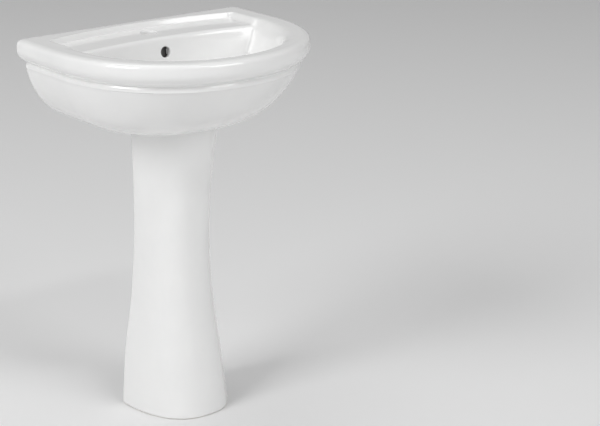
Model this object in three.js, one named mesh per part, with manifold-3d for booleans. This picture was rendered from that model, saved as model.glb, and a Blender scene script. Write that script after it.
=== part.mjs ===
// A pedestal washbasin in vitreous china, with the waste and bottle trap that work inside its pedestal.
// Millimetres, +Z up. The floor is z = 0, the wall plane is y = +DEPTH / 2, and x = 0 is the middle plane.
// Inside the file every piece is placed by its distance from the wall: a point at distance d has y = -d.

import * as THREE from 'three';
import { mergeVertices } from 'three/addons/utils/BufferGeometryUtils.js';
import Module from 'manifold-3d';

const wasm = await Module();
wasm.setup();

// Overall size
const WIDTH = 560;
const DEPTH = 435;
const HEIGHT = 820;

// Clearances
const GAP = 0.3; // between faces that rest on each other
const SLIDE_GAP = 0.4; // round a piece that slides or turns in another
const CUT = 1; // how far a cutting solid runs past the face it cuts

// Basin
const BASIN_HEIGHT = 181;
const PAD_PROUD = 3;
const PAD_WIDTH = 132;
const PAD_SPACING = 362;
const PAD_TAPER = 14;
const RIM_STRAIGHT = 140; // length of the straight sides, from the wall
const RIM_SQUARENESS = 2.15; // exponent of the superellipse that draws the curved front
const RIM_SIDE = 55;
const RIM_FRONT = 45;
const RIM_ROLL = 50; // height of the rolled rim above the bowl's outer skin
// The rim's profile: [share of the roll's height below the top, how far inside the widest outline]
const RIM_PROFILE = [[0, 13], [0.024, 8], [0.08, 3], [0.18, 0.3], [0.38, 0], [0.54, 1], [0.68, 4],
  [0.8, 9], [0.9, 15], [0.96, 18.5], [1.02, 18.8], [1.08, 17.2], [1.14, 17.4]];
const CORNER = 5;
const SKIN_SET_BACK = 17; // the skin starts this far inside the rim
const SIDE_TUCK = [25, 110]; // how far the skin tucks in at the sides: straight part, rounded part
const FRONT_TUCK = [71, 93]; // the same at the front
const SKIN_FULLNESS = 2.2; // exponent of the rounded part: higher is fuller
const CHINA = 10; // thickness of the china
const FLOOR_CHINA = 21; // thickness of the china at the drain

// Deck behind the bowl
const DECK_DROP = 12;
const DECK_BACK_MIDDLE = 23;
const DECK_BACK_ENDS = 52;
const DECK_THICKNESS = 13;
const BOWL_BACK_MIDDLE = 125;
const BOWL_BACK_ENDS = 146;
const TAP_HOLE_RADIUS = 17.5;
const TAP_DISTANCE = 68;

// Bowl
const BOWL_DEPTH = BASIN_HEIGHT - FLOOR_CHINA;
const BOWL_FULLNESS = 3.2; // exponent of the dish: higher is flatter at the floor and steeper at the rim
const INNER_ROLL = 6;
const BACK_SLOPE_MIDDLE = THREE.MathUtils.degToRad(8);
const BACK_SLOPE_ENDS = THREE.MathUtils.degToRad(20);
const OVERFLOW_RADIUS = 11.5;
const OVERFLOW_DEPTH = 43;
const DUCT_WIDTH = 22;
const DUCT_DEPTH = 9;
const DUCT_WALL = 8;
const ACCESS_HALF_WIDTH = 112;
const ACCESS_TOP = 62;
const WALL_HOLE_RADIUS = 7;
const WALL_HOLE_SPACING = 280;
const WALL_HOLE_DEPTH = 95;

// Drain and waste fitting
const DRAIN_DISTANCE = 176;
const WASTE_RADIUS = 20.9;
const WASTE_WALL = 2.9;
const WASTE_BORE = WASTE_RADIUS - WASTE_WALL;
const DRAIN_RADIUS = WASTE_RADIUS + 2.1; // the waste passes with room to spare
const SEAT_RADIUS = DRAIN_RADIUS + 8;
const SEAT_DEPTH = 3;
const FLANGE_THICKNESS = 2.2;
const FLANGE_SEAL = 1.5;
const WASTE_LENGTH = 64;
const BRIDGE_THICKNESS = 4;
const BRIDGE_DEPTH = 38;
const SLOT_WIDTH = 14;
const BACKNUT_THICKNESS = 9;
const BACKNUT_RADIUS = WASTE_RADIUS + 9.1;
const UNDER_SEAL = 5;

// Plug
const PLUG_RADIUS = WASTE_BORE + 7;
const PLUG_THICKNESS = 4;
const PLUG_DOME = 2.5;
const PLUG_SEAL = 3;
const STEM_RADIUS = 3;
const CARTRIDGE_RADIUS = STEM_RADIUS + 4.5;
const PLUG_LIFT = 8; // how far the plug rises when it is pressed

// Bottle trap
const TUBE_RADIUS = 16;
const TUBE_WALL = 2.2;
const TUBE_LENGTH = 118;
const TRAP_RADIUS = TUBE_RADIUS + 11; // leaves the way for the water round the dip tube
const TRAP_WALL = 2.6;
const TRAP_BODY_HEIGHT = 62;
const TRAP_NECK_HEIGHT = 16;
const TRAP_CUP_HEIGHT = 46;
const TRAP_THREAD = 13;
const NUT_WALL = 4.5;
const NUT_HEIGHT = 26;
const WASHER = 3;
const OUTLET_REACH = 34;
const TAIL_DISTANCE = 56; // from the wall to the open end of the outlet

// Pedestal
const PEDESTAL_WALL = 13;
const PEDESTAL_SQUARENESS = 2.4;
const CHANNEL_HALF_WIDTH = 52;
const SEAT_GASKET = 3;
const FOOT_ROUND = 5;
const LUG = { width: 30, depth: 40, height: 16, hole: 4 };
const TRAP_ROOM = 14.5; // from the trap's body to the pedestal's front, at the waist
// Section of the pedestal at equal steps of its height, from the floor up: half its width, how far its
// front stands beyond the waist, and how far its back edge lies behind the drain
const PEDESTAL_HALF_WIDTHS = [108.5, 100, 86, 79.5, 80.5, 86];
const PEDESTAL_FLARE = [42.5, 21.5, 3.5, 0, 11.5, 36.5];
const PEDESTAL_REAR = [91, 87, 78, 71, 65, 60];

// Smoothness
const ARC_STEPS = 26;
const TURN_STEPS = 28;

const HALF = WIDTH / 2;
const UNDERSIDE = HEIGHT - BASIN_HEIGHT;
const PEDESTAL_TOP = UNDERSIDE - SEAT_GASKET - 2 * GAP;
const SEAT_Z = HEIGHT - BOWL_DEPTH - SEAT_DEPTH;
const FLANGE_Z = SEAT_Z + FLANGE_SEAL + 2 * GAP;
const FLANGE_TOP = FLANGE_Z + FLANGE_THICKNESS;
const WASTE_BOTTOM = FLANGE_Z - WASTE_LENGTH;
const BRIDGE_Z = FLANGE_Z - BRIDGE_DEPTH;
const DUCT_Z = SEAT_Z - 12;
const WAIST_FRONT = DRAIN_DISTANCE + TRAP_RADIUS + TRAP_ROOM;

// ---- Solids -------------------------------------------------------------------------------------------

/** Turns a closed three.js geometry into a solid that can be cut and joined. */
function solid(geometry) {
  const bare = geometry.clone();
  bare.deleteAttribute('normal');
  bare.deleteAttribute('uv');
  const merged = mergeVertices(bare, 1e-4);
  const mesh = new wasm.Mesh({
    numProp: 3,
    vertProperties: new Float32Array(merged.attributes.position.array),
    triVerts: new Uint32Array(merged.index.array),
  });
  return new wasm.Manifold(mesh);
}

/** Turns a finished solid back into a geometry. */
function geometryOf(body) {
  const mesh = body.getMesh();
  const geometry = new THREE.BufferGeometry();
  geometry.setAttribute('position', new THREE.BufferAttribute(new Float32Array(mesh.vertProperties), 3));
  geometry.setIndex(new THREE.BufferAttribute(new Uint32Array(mesh.triVerts), 1));
  geometry.computeVertexNormals();
  return geometry;
}

/** Skins a row of rings, each with the same number of points, and closes both ends. */
function loft(rings) {
  const count = rings[0].length;
  const positions = rings.flat().flatMap((point) => point.toArray());
  const index = [];
  for (let ring = 0; ring + 1 < rings.length; ring += 1) {
    for (let i = 0; i < count; i += 1) {
      const a = ring * count + i;
      const b = ring * count + ((i + 1) % count);
      index.push(a, b, b + count, a, b + count, a + count);
    }
  }
  for (const end of [0, rings.length - 1]) {
    const middle = positions.length / 3;
    const centre = new THREE.Vector3();
    rings[end].forEach((point) => centre.addScaledVector(point, 1 / count));
    positions.push(...centre.toArray());
    for (let i = 0; i < count; i += 1) {
      const a = end * count + i;
      const b = end * count + ((i + 1) % count);
      index.push(...(end === 0 ? [middle, b, a] : [middle, a, b]));
    }
  }
  const geometry = new THREE.BufferGeometry();
  geometry.setAttribute('position', new THREE.Float32BufferAttribute(positions, 3));
  geometry.setIndex(index);
  return solid(geometry);
}

/** A block between two corners, given as x, distance from the wall and height. */
function block(from, to) {
  const size = new THREE.Vector3(to[0] - from[0], to[1] - from[1], to[2] - from[2]);
  const geometry = new THREE.BoxGeometry(size.x, size.y, size.z);
  geometry.translate((from[0] + to[0]) / 2, -(from[1] + to[1]) / 2, (from[2] + to[2]) / 2);
  return solid(geometry);
}

/** An upright cylinder from one height to another. */
function post(radius, x, distance, low, high, steps = TURN_STEPS) {
  const geometry = new THREE.CylinderGeometry(radius, radius, high - low, steps);
  geometry.rotateX(Math.PI / 2);
  geometry.translate(x, -distance, (low + high) / 2);
  return solid(geometry);
}

/** A cylinder that points away from the wall, between two distances. */
function bar(radius, x, z, from, to, steps = TURN_STEPS) {
  const geometry = new THREE.CylinderGeometry(radius, radius, to - from, steps);
  geometry.translate(x, -(from + to) / 2, z);
  return solid(geometry);
}

/** A turned piece on the Z axis: the profile is a closed list of [radius, height] points. */
function turned(profile, steps = TURN_STEPS) {
  const points = profile.map(([radius, height]) => new THREE.Vector2(radius, height));
  const closed = points[0].x === 0 && points.at(-1).x === 0 ? points : [...points, points[0].clone()];
  const geometry = new THREE.LatheGeometry(closed, steps);
  geometry.rotateX(Math.PI / 2);
  return solid(geometry);
}

/** A turned ring with a rectangular section. */
function ring(inner, outer, low, high, steps = TURN_STEPS) {
  return turned([[inner, low], [outer, low], [outer, high], [inner, high]], steps);
}

/** A prism standing on one height, drawn as a shape in x and y. */
function prism(shape, low, high, curveSegments = ARC_STEPS) {
  const options = { depth: high - low, bevelEnabled: false, curveSegments };
  const geometry = new THREE.ExtrudeGeometry(shape, options);
  geometry.translate(0, 0, low);
  return solid(geometry);
}

/** A flat ring below a height. */
function washer(inner, outer, top, thickness) {
  return ring(inner, outer, top - thickness, top);
}

/** A hexagon nut below a height. */
function hexNut(inner, outer, top, thickness) {
  const hexagon = post(outer, 0, 0, top - thickness, top, 6);
  return hexagon.subtract(post(inner, 0, 0, top - thickness - CUT, top + CUT));
}

// ---- Basin --------------------------------------------------------------------------------------------

/** One ring of a D outline: a flat back, straight sides and a superellipse front. */
function dRing({ half, back, front, straight, squareness, z, corner = CORNER }) {
  const power = 2 / squareness;
  const points = [];
  for (let step = 0; step <= ARC_STEPS; step += 1) {
    const angle = (Math.PI * step) / ARC_STEPS;
    const across = -Math.sign(Math.cos(angle)) * Math.abs(Math.cos(angle)) ** power;
    const along = Math.abs(Math.sin(angle)) ** power;
    points.push(new THREE.Vector3(half * across, -straight - (front - straight) * along, z));
  }
  for (const side of [1, -1]) {
    const turn = [0, Math.PI / 4, Math.PI / 2];
    const steps = side > 0 ? turn : turn.toReversed();
    for (const angle of steps) {
      const x = side * (half - corner + corner * Math.cos(angle));
      points.push(new THREE.Vector3(x, -back - corner + corner * Math.sin(angle), z));
    }
  }
  return points;
}

/** The skin's profile below the rim: depth, inset at the sides and inset at the front. */
function skinProfile(steps) {
  const rows = [];
  for (let step = 0; step <= steps; step += 1) {
    const angle = (Math.PI / 2) * (0.1 + (0.9 * step) / steps);
    const straight = Math.sin(angle);
    const round = 1 - (1 - straight ** SKIN_FULLNESS) ** (1 / SKIN_FULLNESS);
    rows.push([
      RIM_ROLL + (BASIN_HEIGHT - RIM_ROLL) * straight,
      SKIN_SET_BACK + SIDE_TUCK[0] * straight + SIDE_TUCK[1] * round,
      SKIN_SET_BACK + FRONT_TUCK[0] * straight + FRONT_TUCK[1] * round,
    ]);
  }
  return rows;
}

/** A ring of the basin's outside, moved inwards by the two insets. */
function basinRing(depth, sideInset, frontInset, back) {
  return dRing({
    half: HALF - sideInset,
    back,
    front: DEPTH - frontInset,
    straight: RIM_STRAIGHT,
    squareness: RIM_SQUARENESS,
    z: HEIGHT - depth,
  });
}

/** The outside of the basin, from the rim down to its flat underside. */
function basinOutside(back) {
  const rim = RIM_PROFILE.map(([share, inset]) => basinRing(share * RIM_ROLL, inset, inset, back));
  const skin = skinProfile(9).map(([depth, side, front]) => basinRing(depth, side, front, back));
  return loft([...rim, ...skin].toReversed());
}

/** Two low pads on the back face that meet the wall. */
function wallPads() {
  const low = HEIGHT - WALL_HOLE_DEPTH - 55;
  const high = HEIGHT - DECK_DROP;
  const pads = [1, -1].map((side) => {
    const shape = new THREE.Shape();
    const middle = (side * PAD_SPACING) / 2;
    shape.moveTo(middle - PAD_WIDTH / 2, -PAD_PROUD - CUT);
    shape.lineTo(middle + PAD_WIDTH / 2, -PAD_PROUD - CUT);
    shape.lineTo(middle + PAD_WIDTH / 2 - PAD_TAPER, 0);
    shape.lineTo(middle - PAD_WIDTH / 2 + PAD_TAPER, 0);
    return prism(shape, low, high);
  });
  return pads[0].add(pads[1]).intersect(basinOutside(0));
}

/** Distance from the wall of the bowl's back wall, at a place across and a depth below the rim. */
function bowlBack(x, depth) {
  const share = Math.abs(x) / (HALF - RIM_SIDE);
  const top = THREE.MathUtils.lerp(BOWL_BACK_MIDDLE, BOWL_BACK_ENDS, share ** 2);
  const slope = THREE.MathUtils.lerp(BACK_SLOPE_MIDDLE, BACK_SLOPE_ENDS, share ** 1.5);
  return top + (depth - DECK_DROP) * Math.tan(slope);
}

/** A slab that follows the bowl's back wall between two offsets, two depths and two sides. */
function backWallSlab(halfWidth, shallow, deep, near, far) {
  const steps = Math.max(1, Math.round(halfWidth / 20));
  const rings = [];
  for (let step = -steps; step <= steps; step += 1) {
    const x = (halfWidth * step) / steps;
    const corner = (depth, offset) => new THREE.Vector3(x, -bowlBack(x, depth) - offset, HEIGHT - depth);
    rings.push([corner(shallow, near), corner(shallow, far), corner(deep, far), corner(deep, near)]);
  }
  return loft(rings);
}

/** The dish of the bowl with a straight back, grown by an amount on every side. */
function dish(growth) {
  const rows = [[1.05, -CUT], [1.05, 0], [1.02, 1.5]];
  for (const reach of [1, 0.96, 0.9, 0.83, 0.75, 0.66, 0.56, 0.45, 0.3, 0.14]) {
    rows.push([reach, INNER_ROLL + (BOWL_DEPTH - INNER_ROLL) * (1 - reach ** BOWL_FULLNESS)]);
  }
  const half = HALF - RIM_SIDE;
  const front = DEPTH - RIM_FRONT;
  const rings = rows.map(([reach, depth]) => dRing({
    half: (half + growth) * reach,
    back: RIM_STRAIGHT / 4,
    front: DRAIN_DISTANCE + (front - DRAIN_DISTANCE + growth) * reach,
    straight: DRAIN_DISTANCE + (RIM_STRAIGHT - DRAIN_DISTANCE) * reach,
    squareness: RIM_SQUARENESS,
    z: HEIGHT - depth - growth * Math.sqrt(Math.max(0, 1 - reach ** 4)),
  }));
  return loft(rings.toReversed());
}

/** The space inside the bowl. */
function bowlSpace() {
  return dish(0).intersect(backWallSlab(HALF, -2 * CUT, BOWL_DEPTH + CUT, 0, DEPTH));
}

/** The bowl with its china round it, which the hollow of the basin leaves standing. */
function bowlShell() {
  return dish(CHINA).intersect(backWallSlab(HALF, 0, BOWL_DEPTH + 2 * CHINA, -CHINA, DEPTH));
}

/** A prism of the deck's outline, with its arched back edge, grown sideways and to the back. */
function deckPrism(growth, low, high) {
  const half = HALF - RIM_SIDE + growth;
  const shape = new THREE.Shape();
  const middle = DECK_BACK_MIDDLE - growth;
  const ends = DECK_BACK_ENDS - growth;
  shape.moveTo(-half, -BOWL_BACK_ENDS);
  shape.lineTo(half, -BOWL_BACK_ENDS);
  shape.lineTo(half, -ends);
  shape.quadraticCurveTo(0, ends - 2 * middle, -half, -ends);
  return prism(shape, low, high, 16);
}

/** The shallow recess of the deck. */
function deckSpace() {
  return deckPrism(0, HEIGHT - DECK_DROP, HEIGHT + CUT);
}

/** The hollow between the skin and the bowl, under the deck, open behind and below in the middle. */
function rearSpace() {
  const back = PAD_PROUD + CHINA;
  const rows = [
    basinRing(CHINA * 1.4, CHINA * 1.6, CHINA * 1.6, back),
    basinRing(RIM_ROLL / 2, CHINA * 1.4, CHINA * 1.4, back),
    basinRing(RIM_ROLL, SKIN_SET_BACK + CHINA * 1.3, SKIN_SET_BACK + CHINA * 1.3, back),
  ];
  const lowest = BOWL_DEPTH + CHINA / 2; // above the bowl's own underside, so the floor stays in one piece
  for (const [depth, side, front] of skinProfile(7)) {
    const down = (depth - RIM_ROLL) / (BASIN_HEIGHT - RIM_ROLL);
    const across = CHINA * Math.sqrt(1 - down ** 2);
    if (depth > RIM_ROLL + CHINA) {
      rows.push(basinRing(depth - CHINA * down, side + across, front + across, back));
    }
  }
  const access = block(
    [-ACCESS_HALF_WIDTH, -CUT, UNDERSIDE - CUT],
    [ACCESS_HALF_WIDTH, BOWL_BACK_MIDDLE - CHINA, HEIGHT - ACCESS_TOP],
  );
  const ribHalf = DUCT_WIDTH / 2 + DUCT_WALL;
  const rib = backWallSlab(ribHalf, 0, BASIN_HEIGHT + CUT, -2 * DUCT_WALL - DUCT_DEPTH, CUT);
  const deckGrowth = Math.max(CHINA, DECK_BACK_MIDDLE - back + 2 * CUT);
  const floor = block([-HALF, -DEPTH, 0], [HALF, 2 * DEPTH, HEIGHT - lowest]);
  return loft(rows.toReversed())
    .subtract(floor)
    .subtract(deckPrism(deckGrowth, HEIGHT - DECK_DROP - DECK_THICKNESS, HEIGHT))
    .subtract(bowlShell())
    .add(access)
    .subtract(rib);
}

/** The overflow's way: the hole in the bowl, the duct down behind it and the turn into the drain. */
function overflowSpace() {
  const near = -DUCT_WALL - DUCT_DEPTH;
  const deep = HEIGHT - DUCT_Z;
  const down = backWallSlab(DUCT_WIDTH / 2, OVERFLOW_DEPTH - DUCT_WIDTH / 2, deep, near, -DUCT_WALL);
  const start = bowlBack(0, deep) + near;
  const across = block(
    [-DUCT_WIDTH / 2, start, DUCT_Z],
    [DUCT_WIDTH / 2, DRAIN_DISTANCE, DUCT_Z + DUCT_DEPTH],
  );
  const mouthBack = BOWL_BACK_MIDDLE - DUCT_WALL;
  const mouth = bar(OVERFLOW_RADIUS, 0, HEIGHT - OVERFLOW_DEPTH, mouthBack, DRAIN_DISTANCE, 20);
  return down.add(across).add(mouth);
}

/** The two holes for the wall bolts. */
function wallHoles() {
  const z = HEIGHT - WALL_HOLE_DEPTH;
  const holes = [1, -1].map((side) => {
    const x = (side * WALL_HOLE_SPACING) / 2;
    return bar(WALL_HOLE_RADIUS, x, z, -CUT, PAD_PROUD + CHINA + CUT, 16);
  });
  return holes[0].add(holes[1]);
}

function makeBasin() {
  const drain = post(DRAIN_RADIUS, 0, DRAIN_DISTANCE, UNDERSIDE - CUT, SEAT_Z + CUT);
  const seat = post(SEAT_RADIUS, 0, DRAIN_DISTANCE, SEAT_Z, HEIGHT - BOWL_DEPTH + 3 * CUT);
  const tap = post(TAP_HOLE_RADIUS, 0, TAP_DISTANCE, HEIGHT - ACCESS_TOP, HEIGHT);
  return basinOutside(PAD_PROUD)
    .add(wallPads())
    .subtract(deckSpace())
    .subtract(bowlSpace())
    .subtract(rearSpace())
    .subtract(overflowSpace())
    .subtract(drain.add(seat))
    .subtract(tap)
    .subtract(wallHoles());
}

// ---- Pedestal -----------------------------------------------------------------------------------------

/** Reads a value of the pedestal's section at a share of its height, smoothly between the stations. */
function station(values, share) {
  const curve = new THREE.SplineCurve(values.map((value, i) => new THREE.Vector2(i, value)));
  return curve.getPoint(THREE.MathUtils.clamp(share, 0, 1)).y;
}

/** A ring of the pedestal at a height, moved inwards by an inset. */
function pedestalRing(z, inset) {
  const share = z / PEDESTAL_TOP;
  const back = DRAIN_DISTANCE - station(PEDESTAL_REAR, share) + inset;
  return dRing({
    half: station(PEDESTAL_HALF_WIDTHS, share) - inset,
    back,
    front: WAIST_FRONT + station(PEDESTAL_FLARE, share) - inset,
    straight: back + CORNER,
    squareness: PEDESTAL_SQUARENESS,
    z,
  });
}

/** Lugs inside the foot that take the floor screws. */
function floorLugs() {
  const outer = PEDESTAL_HALF_WIDTHS[0] - PEDESTAL_WALL + CUT;
  const middle = DRAIN_DISTANCE - PEDESTAL_REAR[0] + LUG.depth * 1.5;
  const lugs = [1, -1].map((side) => {
    const edges = [side * outer, side * (outer - LUG.width)].sort((a, b) => a - b);
    const body = block([edges[0], middle - LUG.depth / 2, 0], [edges[1], middle + LUG.depth / 2, LUG.height]);
    const x = side * (outer - LUG.width / 2);
    return body.subtract(post(LUG.hole, x, middle, -CUT, LUG.height + CUT, 12));
  });
  return lugs[0].add(lugs[1]);
}

function makePedestal() {
  const levels = [];
  for (let step = 1; step <= 11; step += 1) {
    levels.push((PEDESTAL_TOP * step) / 12);
  }
  const round = [[0, FOOT_ROUND], [FOOT_ROUND / 4, FOOT_ROUND / 3], [FOOT_ROUND, 0]];
  const rows = [...round, ...levels.map((z) => [z, 0]), [PEDESTAL_TOP - 2, 0], [PEDESTAL_TOP, 2]];
  const outside = loft(rows.map(([z, inset]) => pedestalRing(z, inset)));
  const inside = loft([-CUT, ...levels, PEDESTAL_TOP + CUT].map((z) => pedestalRing(z, PEDESTAL_WALL)));
  const channel = block(
    [-CHANNEL_HALF_WIDTH, 0, -CUT],
    [CHANNEL_HALF_WIDTH, DRAIN_DISTANCE - PEDESTAL_REAR.at(-1) + 2 * PEDESTAL_WALL, PEDESTAL_TOP + CUT],
  );
  return outside.subtract(inside).add(floorLugs()).subtract(channel);
}

/** A soft strip between the pedestal's top edge and the basin's underside. */
function makeSeatGasket() {
  const low = PEDESTAL_TOP + GAP;
  const high = low + SEAT_GASKET;
  const inset = 2;
  const edge = (amount, z) => pedestalRing(PEDESTAL_TOP, amount).map((point) => point.setZ(z));
  const outside = loft([low, high].map((z) => edge(inset, z)));
  const inside = loft([low - CUT, high + CUT].map((z) => edge(PEDESTAL_WALL - inset, z)));
  const behind = block([-HALF, 0, low - CUT], [HALF, BOWL_BACK_MIDDLE + CHINA, high + CUT]);
  return outside.subtract(inside).subtract(behind);
}

// ---- Waste and plug: turned about the drain's axis ----------------------------------------------------

function makeWasteBody() {
  const shell = turned([
    [WASTE_BORE, WASTE_BOTTOM],
    [WASTE_RADIUS, WASTE_BOTTOM],
    [WASTE_RADIUS, FLANGE_Z],
    [SEAT_RADIUS - 1, FLANGE_Z],
    [SEAT_RADIUS - 1, FLANGE_TOP - 0.8],
    [SEAT_RADIUS - 2.5, FLANGE_TOP],
    [WASTE_BORE + 1.5, FLANGE_TOP],
    [WASTE_BORE, FLANGE_TOP - 1.5],
  ], 36);
  const slot = block(
    [-SLOT_WIDTH / 2, -2 * WASTE_RADIUS, DUCT_Z - CUT],
    [SLOT_WIDTH / 2, 2 * WASTE_RADIUS, DUCT_Z + DUCT_DEPTH],
  );
  let bridge = post(WASTE_BORE + GAP, 0, 0, BRIDGE_Z, BRIDGE_Z + BRIDGE_THICKNESS);
  const flow = WASTE_BORE / 3.6;
  for (let hole = 0; hole < 4; hole += 1) {
    const angle = (Math.PI / 2) * (hole + 0.5);
    const reach = WASTE_BORE - flow - 1;
    const cut = post(flow, reach * Math.cos(angle), reach * Math.sin(angle), BRIDGE_Z - CUT, FLANGE_Z, 12);
    bridge = bridge.subtract(cut);
  }
  bridge = bridge.subtract(post(STEM_RADIUS + 2, 0, 0, BRIDGE_Z - CUT, FLANGE_Z, 16));
  return shell.subtract(slot).add(bridge);
}

const PLUG_UNDERSIDE = FLANGE_TOP + GAP;
const CARTRIDGE_TOP = PLUG_UNDERSIDE - PLUG_SEAL - 4;

function makePlugCap() {
  const top = PLUG_UNDERSIDE + PLUG_THICKNESS;
  const profile = [[0, PLUG_UNDERSIDE], [PLUG_RADIUS - 1, PLUG_UNDERSIDE], [PLUG_RADIUS, PLUG_UNDERSIDE + 1]];
  for (let step = 0; step <= 5; step += 1) {
    const angle = (Math.PI / 2) * (step / 5);
    profile.push([PLUG_RADIUS * Math.cos(angle) ** 0.7, top - 1 + PLUG_DOME * Math.sin(angle)]);
  }
  profile[profile.length - 1][0] = 0;
  return turned(profile, 36);
}

function makePlugSeal() {
  const high = PLUG_UNDERSIDE - GAP;
  return ring(STEM_RADIUS + GAP, WASTE_BORE - SLIDE_GAP, high - PLUG_SEAL, high);
}

/** The stem, long enough to stay in the cartridge when the plug is up. */
function makePlugStem() {
  const low = BRIDGE_Z - PLUG_LIFT / 2;
  return post(STEM_RADIUS, 0, 0, low, PLUG_UNDERSIDE - GAP, 16);
}

/** The push-push unit that holds the stem up or down, screwed into the bridge of the waste. */
function makeCartridge() {
  const bore = STEM_RADIUS + SLIDE_GAP;
  const shoulder = BRIDGE_Z + BRIDGE_THICKNESS + GAP;
  return turned([
    [bore, BRIDGE_Z - 1],
    [STEM_RADIUS + 2 - GAP, BRIDGE_Z - 1],
    [STEM_RADIUS + 2 - GAP, shoulder],
    [CARTRIDGE_RADIUS, shoulder],
    [CARTRIDGE_RADIUS, CARTRIDGE_TOP - 2],
    [CARTRIDGE_RADIUS - 2, CARTRIDGE_TOP],
    [bore, CARTRIDGE_TOP],
  ], 20);
}

// ---- Bottle trap: turned about the same axis ----------------------------------------------------------

const NUT_BORE = WASTE_RADIUS + GAP;
const WASHER_TOP = WASTE_BOTTOM - GAP;
const TUBE_TOP = WASHER_TOP - WASHER - GAP;
const INLET_NUT_LOW = TUBE_TOP - WASHER - GAP - NUT_WALL;
const NECK_NUT_TOP = INLET_NUT_LOW - 4;
const NECK_TOP = NECK_NUT_TOP - NUT_WALL - WASHER - 2 * GAP;
const BODY_TOP = NECK_TOP - TRAP_NECK_HEIGHT;
const BODY_LOW = BODY_TOP - TRAP_BODY_HEIGHT;
const NECK_BORE = TUBE_RADIUS + GAP;
const NECK_RADIUS = NECK_BORE + TRAP_WALL + 1.5;
const STUB_RADIUS = TUBE_RADIUS + GAP + TRAP_WALL;
const OUTLET_Z = BODY_LOW + TRAP_THREAD + STUB_RADIUS + WASHER;
const STUB_END = DRAIN_DISTANCE - TRAP_RADIUS - OUTLET_REACH;
const CUP_INNER = TRAP_RADIUS - TRAP_WALL;

/** A coupling nut: a collar over a thread, with a lip that holds what it clamps. */
function couplingNut(threadRadius, lipRadius, height) {
  return turned([
    [lipRadius, 0],
    [threadRadius + NUT_WALL - 1.5, 0],
    [threadRadius + NUT_WALL, 1.5],
    [threadRadius + NUT_WALL, height],
    [threadRadius, height],
    [threadRadius, NUT_WALL],
    [lipRadius, NUT_WALL],
  ], 24);
}

function makeInletNut() {
  return couplingNut(NUT_BORE, NECK_BORE, NUT_HEIGHT).translate(0, 0, INLET_NUT_LOW);
}

function makeDipTube() {
  const inner = TUBE_RADIUS - TUBE_WALL;
  return turned([
    [inner, TUBE_TOP - TUBE_LENGTH],
    [TUBE_RADIUS, TUBE_TOP - TUBE_LENGTH],
    [TUBE_RADIUS, TUBE_TOP - WASHER],
    [WASTE_RADIUS - GAP, TUBE_TOP - WASHER],
    [WASTE_RADIUS - GAP, TUBE_TOP],
    [inner, TUBE_TOP],
  ]);
}

function makeNeckNut() {
  const nut = couplingNut(NECK_RADIUS + GAP, NECK_BORE, NUT_HEIGHT * 0.7);
  return nut.mirror([0, 0, 1]).translate(0, 0, NECK_NUT_TOP);
}

function makeTrapBody() {
  const shell = turned([
    [CUP_INNER, BODY_LOW],
    [TRAP_RADIUS, BODY_LOW],
    [TRAP_RADIUS, BODY_TOP - 5],
    [TRAP_RADIUS - 4, BODY_TOP],
    [NECK_RADIUS, BODY_TOP],
    [NECK_RADIUS, NECK_TOP],
    [NECK_BORE, NECK_TOP],
    [NECK_BORE, BODY_TOP - TRAP_WALL],
    [CUP_INNER - 3, BODY_TOP - TRAP_WALL],
    [CUP_INNER, BODY_TOP - TRAP_WALL - 4],
  ], 32);
  const inward = -(CUP_INNER - 2);
  const stub = bar(STUB_RADIUS, 0, OUTLET_Z, STUB_END - DRAIN_DISTANCE, inward, 24);
  const hollow = post(CUP_INNER, 0, 0, BODY_LOW - CUT, BODY_TOP - TRAP_WALL - 4, 32);
  const bore = bar(TUBE_RADIUS + GAP, 0, OUTLET_Z, STUB_END - DRAIN_DISTANCE - CUT, -TUBE_RADIUS - 2, 24);
  return shell.add(stub.subtract(hollow)).subtract(bore);
}

function makeTrapCup() {
  const thread = TRAP_RADIUS + SLIDE_GAP;
  const ledge = BODY_LOW - WASHER;
  const low = ledge - TRAP_CUP_HEIGHT + TRAP_THREAD;
  const cup = turned([
    [0, low],
    [CUP_INNER - 6, low],
    [TRAP_RADIUS, low + 7],
    [TRAP_RADIUS, ledge - 4],
    [thread + TRAP_WALL, ledge - 1],
    [thread + TRAP_WALL, BODY_LOW + TRAP_THREAD],
    [thread, BODY_LOW + TRAP_THREAD],
    [thread, ledge],
    [CUP_INNER, ledge],
    [CUP_INNER, low + 9],
    [CUP_INNER - 6, low + TRAP_WALL],
    [0, low + TRAP_WALL],
  ], 32);
  const grip = block([-1.5, -TRAP_RADIUS + 8, low - 6], [1.5, TRAP_RADIUS - 8, low + 1]);
  return cup.add(grip);
}

// ---- Outlet: turned about a horizontal axis, then laid towards the wall -------------------------------

/** Lays a piece turned on Z down, so that its +Z end points away from the wall. */
function layDown(body) {
  return body.rotate([90, 0, 0]);
}

const OUTLET_NUT_FROM = STUB_END - NUT_WALL - WASHER - 2 * GAP;

function makeOutletNut() {
  const nut = couplingNut(STUB_RADIUS + GAP, TUBE_RADIUS + GAP, NUT_HEIGHT * 0.8);
  return layDown(nut).translate(0, -OUTLET_NUT_FROM, 0);
}

function makeOutletTail() {
  const inner = TUBE_RADIUS - TUBE_WALL;
  return layDown(ring(inner, TUBE_RADIUS, 0, STUB_END + OUTLET_REACH / 2 - TAIL_DISTANCE))
    .translate(0, -TAIL_DISTANCE, 0);
}

// ---- Scene --------------------------------------------------------------------------------------------

const china = { color: 0xf1f1ef, roughness: 0.08, metalness: 0 };
const rubber = { color: 0x2b2b2c, roughness: 0.8, metalness: 0 };
const whitePlastic = { color: 0xe9e9e6, roughness: 0.35, metalness: 0 };
const paleRubber = { color: 0xcfcfca, roughness: 0.7, metalness: 0 };
const chrome = { color: 0xd4d6d8, roughness: 0.12, metalness: 1 };
const brass = { color: 0xc9a552, roughness: 0.35, metalness: 1 };
const steel = { color: 0xb4b7ba, roughness: 0.3, metalness: 1 };

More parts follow.
